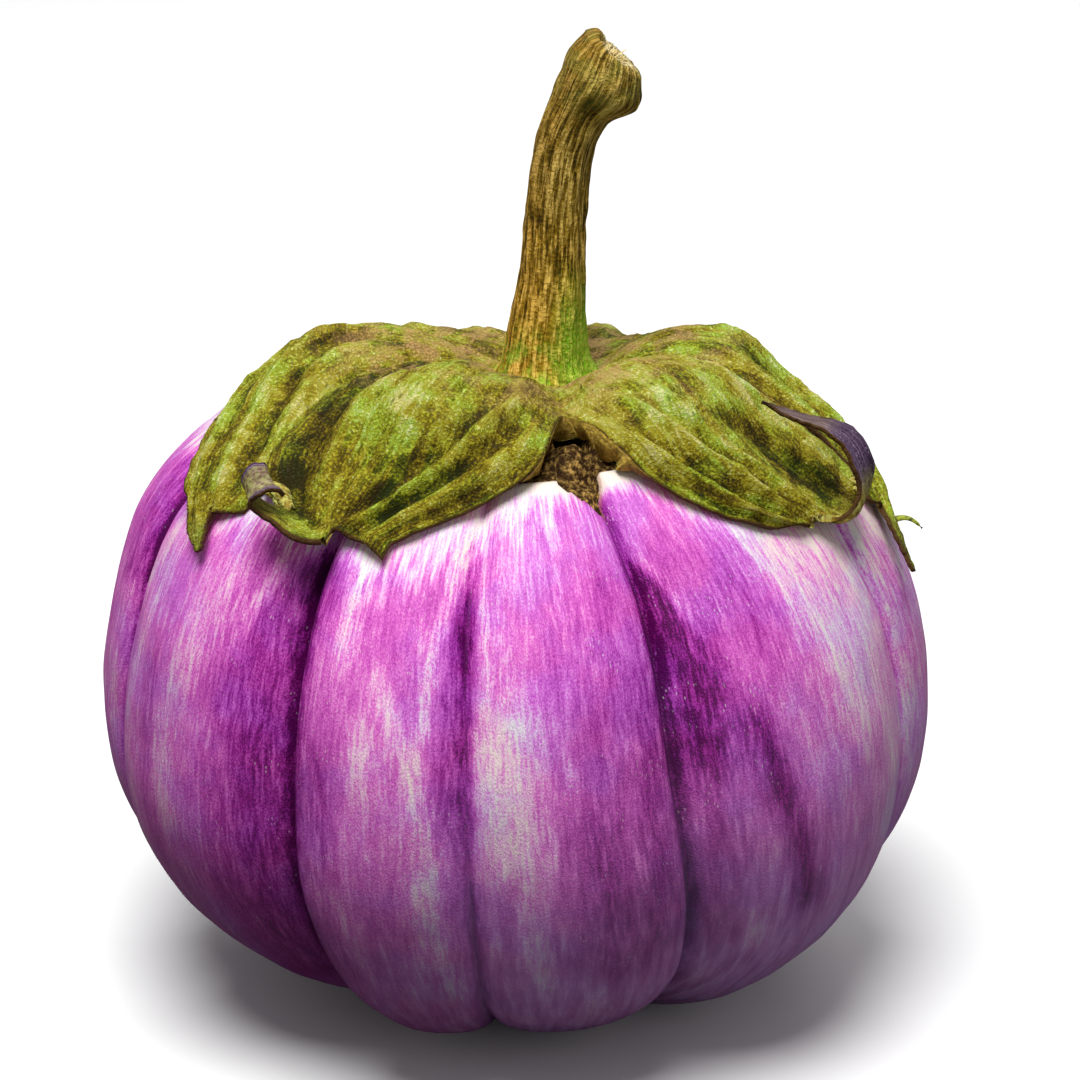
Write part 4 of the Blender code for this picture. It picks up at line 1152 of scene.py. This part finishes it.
def startMaterial(name):
    material = bpy.data.materials.new(name)
    material.use_nodes = True
    return material, material.node_tree


def finishMaterial(material, colour, roughness, gloss=None, height=None, distance=None):
    tree = material.node_tree
    shader = tree.nodes["Principled BSDF"]
    tree.links.new(colour, shader.inputs["Base Color"])
    tree.links.new(roughness, shader.inputs["Roughness"])
    if gloss is not None:
        shader.inputs["Specular IOR Level"].default_value = gloss
    if height is not None:
        bump = put(tree, "ShaderNodeBump", {"Height": height, "Distance": distance, "Strength": 1.0})
        tree.links.new(bump.outputs[0], shader.inputs["Normal"])
    return material


def millimetres(tree):
    # the place on the piece in millimetres, for patterns that don't follow the grain
    spot = put(tree, "ShaderNodeTexCoord").outputs["Object"]
    return put(tree, "ShaderNodeVectorMath", {0: spot, "Scale": 1000.0}, operation="SCALE").outputs[0]


skinLook = {
    "deep": (0.10, 0.001, 0.085),
    "purple": (0.36, 0.020, 0.32),
    "magenta": (0.64, 0.105, 0.56),
    "orchid": (0.82, 0.22, 0.70),
    "pink": (0.90, 0.48, 0.81),
    "pale": (0.93, 0.69, 0.81),
    "cream": (0.95, 0.85, 0.80),
    # towards the base the skin turns darker and greyer: the greyish bloom is its own colour, the darkening is
    # partly painted shade and partly deeper purple
    "lowShadeTint": (0.09, 0.006, 0.07),
    "lowBloom": (0.52, 0.36, 0.68),
    "lowShadeAndBloomShare": 0.64,
    "violetCast": (0.91, 1.0, 1.05),
    "redCast": (1.03, 0.95, 0.95),
    "cork": (0.50, 0.30, 0.08),
    "corkDark": (0.035, 0.014, 0.003),
    "corkEdge": (0.45, 0.14, 0.02),
    "lip": (0.96, 0.88, 0.74),
    "fleck": (0.95, 0.80, 0.86),
    "speck": (0.12, 0.01, 0.09),
    "roughness": 0.42,
    "coat": 0.03,
    "coatRoughness": 0.25,
    "gloss": 0.16,
    "fibreBump": 0.00007,
}


def paintSkin():
    look = skinLook
    material, tree = startMaterial("eggplant skin")
    shader = tree.nodes["Principled BSDF"]
    grain = fact(tree, "grain")
    grains = fibreMask(tree, grain, 0.20, 0.34, 0.34, 0.66)
    fine = fibreMask(tree, grain, 0.5, 3.2, 0.32, 0.68)
    medium = fibreMask(tree, grain, 1.6, 10.0, 0.32, 0.68)
    broad = fibreMask(tree, grain, 6.0, 18.0, 0.32, 0.68)
    pale, dark, cream, low = (fact(tree, name) for name in ("pale", "dark", "cream", "low"))
    texture = weigh(tree, times(tree, fine, 0.14), (grains, 0.17))
    calmed = weigh(tree, 1.0, (pale, -0.4))
    tone = weigh(tree, 0.26, (texture, calmed), (medium, 0.08), (broad, 0.10))
    tone = weigh(tree, tone, (pale, weigh(tree, 0.24, (fine, 0.18), (grains, 0.12))))
    ragged = weigh(tree, -0.375, (medium, 0.5), (fine, 0.25))
    ragged = spread(tree, calc(tree, "ADD", cream, ragged), 0.05, 1.05)
    tone = weigh(tree, tone, (ragged, weigh(tree, 0.26, (fine, 0.12))))
    # dark streaks, partly painted shade on the flanks beside grooves 1 and 3
    darkFibres = times(tree, dark, weigh(tree, 0.52, (fine, -0.10)))
    tone = calc(tree, "SUBTRACT", tone, darkFibres)
    # painted shade: a dark line along the bottom of each groove
    tone = calc(tree, "SUBTRACT", tone, times(tree, fact(tree, "crease"), 0.34))
    colour = tones(tree, tone, (
        (0.0, look["deep"]), (0.2, look["purple"]), (0.42, look["magenta"]), (0.58, look["orchid"]),
        (0.74, look["pink"]), (0.88, look["pale"]), (1.0, look["cream"]),
    ))
    flecks = speckMask(tree, grain, 0.32, 0.85, 0.34, 0.36)
    fleckPlaces = mottleMask(tree, grain, 5.0, 0.50, 0.66)
    fleckShare = times(tree, times(tree, flecks, fleckPlaces), 0.55)
    colour = blend(tree, fleckShare, colour, look["fleck"])
    specks = speckMask(tree, grain, 0.4, 0.55, 0.18, 0.40)
    colour = blend(tree, times(tree, specks, 0.3), colour, look["speck"])
    violet = mottleMask(tree, grain, 12.0, 0.42, 0.62)
    colour = blend(tree, 1.0, colour, blend(tree, violet, look["redCast"], look["violetCast"]), "MULTIPLY")
    # painted shade towards the base, partly the skin's deeper purple, mixed with its own greyish bloom
    lowShare = times(tree, low, look["lowShadeAndBloomShare"])
    bloom = times(tree, fact(tree, "bloom"), weigh(tree, 0.6, (medium, 0.5)))
    bloom = times(tree, bloom, weigh(tree, 1.0, (dark, -0.9)))
    colour = blend(tree, lowShare, colour, blend(tree, bloom, look["lowShadeTint"], look["lowBloom"]))
    colour = blend(tree, times(tree, fact(tree, "lip"), 0.9), colour, look["lip"])
    spots = millimetres(tree)
    corky = mottleMask(tree, spots, 0.8, 0.42, 0.66)
    cork = fact(tree, "cork")
    corkColour = blend(tree, corky, look["corkDark"], look["cork"])
    inCork = spread(tree, cork, 0.35, 0.6)
    edge = times(tree, spread(tree, cork, 0.1, 0.35), spread(tree, cork, 0.6, 0.35))
    colour = blend(tree, times(tree, edge, 0.5), colour, look["corkEdge"])
    colour = blend(tree, inCork, colour, corkColour)
    rough = weigh(tree, look["roughness"] - 0.05, (fine, 0.10), (low, 0.12), (inCork, 0.4))
    coat = times(tree, calc(tree, "SUBTRACT", 1.0, inCork), look["coat"])
    tree.links.new(coat, shader.inputs["Coat Weight"])
    shader.inputs["Coat Roughness"].default_value = look["coatRoughness"]
    height = weigh(tree, times(tree, corky, times(tree, inCork, 6.0)), (grains, 0.5))
    return finishMaterial(material, colour, rough, look["gloss"], height, look["fibreBump"])


calyxLook = {
    "darkGreen": (0.020, 0.030, 0.001),
    "olive": (0.125, 0.14, 0.003),
    "yellowGreen": (0.36, 0.41, 0.02),
    "brightGreen": (0.36, 0.56, 0.06),
    "paleFleck": (0.66, 0.70, 0.27),
    "darkBrown": (0.036, 0.015, 0.001),
    "brown": (0.18, 0.100, 0.003),
    "ochre": (0.42, 0.285, 0.012),
    "paleOchre": (0.62, 0.48, 0.13),
    "pinkTan": (0.58, 0.345, 0.13),
    "rim": (0.085, 0.040, 0.010),
    # the rim's tan, partly its own ochre and partly painted light; also the underside's fibre streaks
    "rimPaintedLightAndFibre": (0.55, 0.37, 0.055),
    # the underside's green, brightened as painted light
    "under": (0.62, 0.64, 0.16),
    "underTip": (0.060, 0.024, 0.075),
    "underTipLight": (0.40, 0.29, 0.42),
    "driedTip": (0.30, 0.21, 0.20),
    "roughness": 0.62,
    "rimRoughness": 0.55,
    "gloss": 0.15,
    "grainBump": 0.00022,
}


def paintCalyxTop():
    look = calyxLook
    material, tree = startMaterial("calyx upper side")
    grain, spots = fact(tree, "grain"), millimetres(tree)
    arc = put(tree, "ShaderNodeSeparateXYZ", {0: grain}).outputs[2]
    granules = mottleMask(tree, spots, 0.38, 0.38, 0.62)
    patches = mottleMask(tree, spots, 3.6, 0.38, 0.62)
    fibres = fibreMask(tree, grain, 0.5, 6.0, 0.36, 0.64)
    bands = fibreMask(tree, grain, 2.6, 26.0, 0.36, 0.64)
    vein, fold = fact(tree, "vein"), fact(tree, "fold")
    # fold adds painted shade in the valleys and painted light on the ridges
    tone = weigh(tree, 0.035, (patches, 0.30), (granules, 0.28), (bands, 0.16), (fibres, 0.18),
                 (vein, 0.06), (fold, 0.34))
    greens = tones(tree, tone, (
        (0.10, look["darkGreen"]), (0.36, look["olive"]), (0.62, look["yellowGreen"]),
        (0.82, look["brightGreen"]), (1.0, look["paleFleck"]),
    ))
    browns = tones(tree, tone, (
        (0.10, look["darkBrown"]), (0.36, look["brown"]), (0.66, look["ochre"]), (1.0, look["paleOchre"]),
    ))
    ochrePlaces = mottleMask(tree, spots, 8.0, 0.40, 0.60)
    brownPlaces = fibreMask(tree, grain, 2.2, 13.0, 0.46, 0.62)
    ochrePlaces = calc(tree, "MAXIMUM", times(tree, ochrePlaces, 0.65), times(tree, brownPlaces, 0.65))
    colour = blend(tree, ochrePlaces, greens, browns)
    tanSize = mottleMask(tree, spots, 3.4, 0.44, 0.6)
    nearStem = spread(tree, arc, 35.0, 17.0)
    tan = times(tree, times(tree, tanSize, nearStem), weigh(tree, 0.35, (granules, 0.6)))
    colour = blend(tree, tan, colour, look["pinkTan"])
    flecks = speckMask(tree, spots, 0.5, 0.5, 0.34, 0.42)
    flecks = times(tree, flecks, spread(tree, tone, 0.25, 0.75))
    colour = blend(tree, times(tree, flecks, 0.6), colour, look["paleFleck"])
    pits = speckMask(tree, grain, 0.7, 1.3, 0.2, 0.38)
    colour = blend(tree, times(tree, pits, 0.45), colour, look["darkGreen"])
    edgeNoise = weigh(tree, fact(tree, "edge"), (granules, 0.5))
    colour = blend(tree, spread(tree, edgeNoise, 0.75, 1.3), colour, look["rim"])
    tipShare = times(tree, fact(tree, "tip"), 0.55)
    colour = blend(tree, times(tree, tipShare, patches), colour, look["underTip"])
    rough = weigh(tree, look["roughness"] - 0.05, (granules, 0.18))
    height = weigh(tree, times(tree, fibres, 0.4), (granules, 0.7), (pits, -0.5))
    return finishMaterial(material, colour, rough, look["gloss"], height, look["grainBump"])


def paintCalyxUnder():
    look = calyxLook
    material, tree = startMaterial("calyx underside")
    grain, spots = fact(tree, "grain"), millimetres(tree)
    granules = mottleMask(tree, spots, 0.8)
    fibres = fibreMask(tree, grain, 0.7, 8.0, 0.35, 0.65)
    # the underside's green, brightened as painted light, in granules with brown
    colour = blend(tree, granules, look["brown"], look["under"])
    colour = blend(tree, times(tree, fibres, 0.4), colour, look["rimPaintedLightAndFibre"])
    speckled = speckMask(tree, spots, 0.45, 0.45, 0.35, 0.4)
    speckled = weigh(tree, times(tree, speckled, 0.5), (fibres, 0.45))
    dark = blend(tree, speckled, look["underTip"], look["underTipLight"])
    tip = fact(tree, "tip")
    purple = weigh(tree, tip, (fact(tree, "edge"), 0.35))
    purple = times(tree, spread(tree, purple, 0.25, 0.8), spread(tree, tip, 0.0, 0.1))
    dark = blend(tree, spread(tree, tip, 1.0, 1.4), dark, look["driedTip"])
    colour = blend(tree, purple, colour, dark)
    rough = weigh(tree, look["roughness"], (granules, 0.15))
    height = weigh(tree, times(tree, fibres, 0.5), (granules, 0.6))
    return finishMaterial(material, colour, rough, look["gloss"], height, look["grainBump"])


def paintCalyxRim():
    look = calyxLook
    material, tree = startMaterial("calyx cut rim")
    grain, spots = fact(tree, "grain"), millimetres(tree)
    arc = put(tree, "ShaderNodeSeparateXYZ", {0: grain}).outputs[2]
    granules = mottleMask(tree, spots, 1.0)
    # painted light: the rim turns from dark to a brightened tan towards the stem
    light = times(tree, spread(tree, arc, 41.0, 36.0), weigh(tree, 0.4, (granules, 0.6)))
    colour = blend(tree, light, look["rim"], look["rimPaintedLightAndFibre"])
    rough = weigh(tree, look["rimRoughness"], (granules, 0.2))
    return finishMaterial(material, colour, rough, look["gloss"], granules, look["grainBump"])


stemLook = {
    "dark": (0.045, 0.026, 0.001),
    "brown": (0.28, 0.165, 0.008),
    "tan": (0.72, 0.50, 0.12),
    "red": (0.46, 0.22, 0.03),
    "green": (0.11, 0.32, 0.003),
    "paleGreen": (0.44, 0.52, 0.10),
    "pith": (0.90, 0.78, 0.42),
    "pithDark": (0.30, 0.19, 0.05),
    "roughness": 0.6,
    "gloss": 0.15,
    "barkBump": 0.0004,
}


def paintStem():
    look = stemLook
    material, tree = startMaterial("stem bark")
    grain, spots = fact(tree, "grain"), millimetres(tree)
    aroundX = put(tree, "ShaderNodeSeparateXYZ", {0: grain}).outputs[0]
    height = fact(tree, "height")
    lines = fibreMask(tree, grain, 0.42, 4.2, 0.36, 0.62)
    bands = fibreMask(tree, grain, 1.3, 9.0, 0.36, 0.64)
    granules = mottleMask(tree, spots, 0.6)
    patches = mottleMask(tree, spots, 3.2, 0.4, 0.6)
    tone = weigh(tree, 0.01, (lines, 0.52), (bands, 0.22), (granules, 0.18), (fact(tree, "furrow"), 0.14))
    colour = tones(tree, tone, ((0.08, look["dark"]), (0.42, look["brown"]), (0.85, look["tan"])))
    leftShare = times(tree, spread(tree, aroundX, 0.5, -3.8), times(tree, lines, 0.45))
    colour = blend(tree, leftShare, colour, look["red"])
    footShare = spread(tree, height, 0.42, 0.12)
    rightShare = spread(tree, aroundX, -0.5, 3.0)
    lowPatches = times(tree, spread(tree, height, 0.22, 0.04), times(tree, patches, 0.9))
    foot = calc(tree, "MAXIMUM", times(tree, footShare, rightShare), lowPatches)
    footColour = blend(tree, times(tree, granules, 0.5), look["green"], look["paleGreen"])
    colour = blend(tree, times(tree, foot, 0.85), colour, footColour)
    topShare = times(tree, spread(tree, height, 0.72, 0.95), times(tree, patches, 0.2))
    colour = blend(tree, topShare, colour, look["paleGreen"])
    # painted light: the stem's colour is brightened towards its foot
    lowerStemPaintedLight = blend(tree, spread(tree, height, 0.75, 0.1), (1.0, 1.0, 1.0), (1.6, 1.55, 1.4))
    colour = blend(tree, 1.0, colour, lowerStemPaintedLight, "MULTIPLY")
    cut = fact(tree, "cut")
    pith = blend(tree, granules, look["pithDark"], look["pith"])
    colour = blend(tree, cut, colour, pith)
    rough = weigh(tree, look["roughness"] + 0.1, (lines, -0.12))
    relief = weigh(tree, times(tree, granules, 0.4), (lines, 0.8))
    return finishMaterial(material, colour, rough, look["gloss"], relief, look["barkBump"])


def paintPlain(name, size, first, second, roughness):
    # two colours in granules of one size
    material, tree = startMaterial(name)
    granules = mottleMask(tree, millimetres(tree), size)
    colour = blend(tree, granules, first, second)
    return finishMaterial(material, colour, weigh(tree, roughness, (granules, 0.15)))


ribbedFruit.data.materials.append(paintSkin())
for paint in (paintCalyxTop, paintCalyxUnder, paintCalyxRim):
    leafyCalyx.data.materials.append(paint())
cutStem.data.materials.append(paintStem())
tornFibres.data.materials.append(
    paintPlain("torn fibres", 0.5, stemLook["pith"], stemLook["tan"], stemLook["roughness"]))
sepalSpike.data.materials.append(
    paintPlain("spike", 0.7, calyxLook["darkGreen"], calyxLook["yellowGreen"], calyxLook["roughness"]))
print("materials made")

standIns = (ribbedFruit, "fruit", "skin"), (leafyCalyx, "calyx", "calyx"), (cutStem, "stem", "stem")
for piece, node, slot in standIns:
    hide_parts(node)
    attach(piece, "root")
for piece, slot in ((tornFibres, "stem"), (sepalSpike, "calyx")):
    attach(piece, "root")

studio = {
    "keyPlace": (-0.14, -0.46, 1.42),
    "keySize": 0.9,
    "keyPower": 26.0,
    "fillPlace": (0.8, -1.1, 0.7),
    "fillSize": 0.8,
    "fillPower": 1.0,
    "backPlace": (0.2, 0.9, 0.9),
    "backSize": 0.8,
    "backPower": 3.0,
    "air": 0.24,
    "floorSeen": 0.95,
    "floorBounce": 0.12,
    "floorHeight": -0.0002,
}


def addLight(name, spot, size, power):
    data = bpy.data.lights.new(name, "AREA")
    data.shape = "DISK"
    data.size = size
    data.energy = power
    light = addObject(name, data)
    light.location = spot
    light.rotation_euler = (Vector((0.0, 0.0, 0.05)) - Vector(spot)).to_track_quat("-Z", "Y").to_euler()


def makeStudio():
    for name in ("key", "fill", "back"):
        addLight(name + " light", studio[name + "Place"], studio[name + "Size"], studio[name + "Power"])
    world = bpy.data.worlds.new("studio air")
    world.use_nodes = True
    air = world.node_tree.nodes["Background"]
    air.inputs["Color"].default_value = (1.0, 1.0, 1.0, 1.0)
    air.inputs["Strength"].default_value = studio["air"]
    bpy.context.scene.world = world
    mesh = bpy.data.meshes.new("floor")
    shape = bmesh.new()
    bmesh.ops.create_circle(shape, cap_ends=True, segments=96, radius=4.0)
    shape.to_mesh(mesh)
    shape.free()
    floor = addObject("floor", mesh)
    floor.location.z = studio["floorHeight"]
    material, tree = startMaterial("plain pale floor")
    shader = tree.nodes["Principled BSDF"]
    seen = put(tree, "ShaderNodeLightPath").outputs["Is Camera Ray"]
    level = weigh(tree, studio["floorBounce"], (seen, studio["floorSeen"] - studio["floorBounce"]))
    grey = put(tree, "ShaderNodeCombineColor", {0: level, 1: level, 2: level}).outputs[0]
    tree.links.new(grey, shader.inputs["Base Color"])
    shader.inputs["Roughness"].default_value = 0.9
    shader.inputs["Specular IOR Level"].default_value = 0.0
    mesh.materials.append(material)


makeStudio()

# The photograph's frame is 1080 pixels square, and its camera looks down by 20 degrees.
cameraShape = {
    "elevation": 20.0,
    "distance": 0.600,
    "pixelsPerMetre": 6900.0,
    "centre": (0.0, 0.0, 0.0430),
    "centrePixel": (516.0, 690.0),
    "framePixels": 1080.0,
    "lens": 138.0,
}


def makeCamera():
    shape = cameraShape
    tilt = math.radians(shape["elevation"])
    ahead = Vector((0.0, math.cos(tilt), -math.sin(tilt)))
    up = Vector((0.0, math.sin(tilt), math.cos(tilt)))
    half = shape["framePixels"] / 2.0
    target = Vector(shape["centre"])
    target += Vector((1.0, 0.0, 0.0)) * (half - shape["centrePixel"][0]) / shape["pixelsPerMetre"]
    target += up * (shape["centrePixel"][1] - half) / shape["pixelsPerMetre"]
    data = bpy.data.cameras.new("camera")
    data.lens = shape["lens"]
    data.sensor_width = 36.0
    data.clip_start = 0.01
    camera = addObject("camera", data)
    camera.location = target - ahead * shape["distance"]
    camera.rotation_euler = ahead.to_track_quat("-Z", "Y").to_euler()
    bpy.context.scene.camera = camera


makeCamera()
bpy.context.scene.view_settings.view_transform = "Standard"
print("floor, lights and camera made")
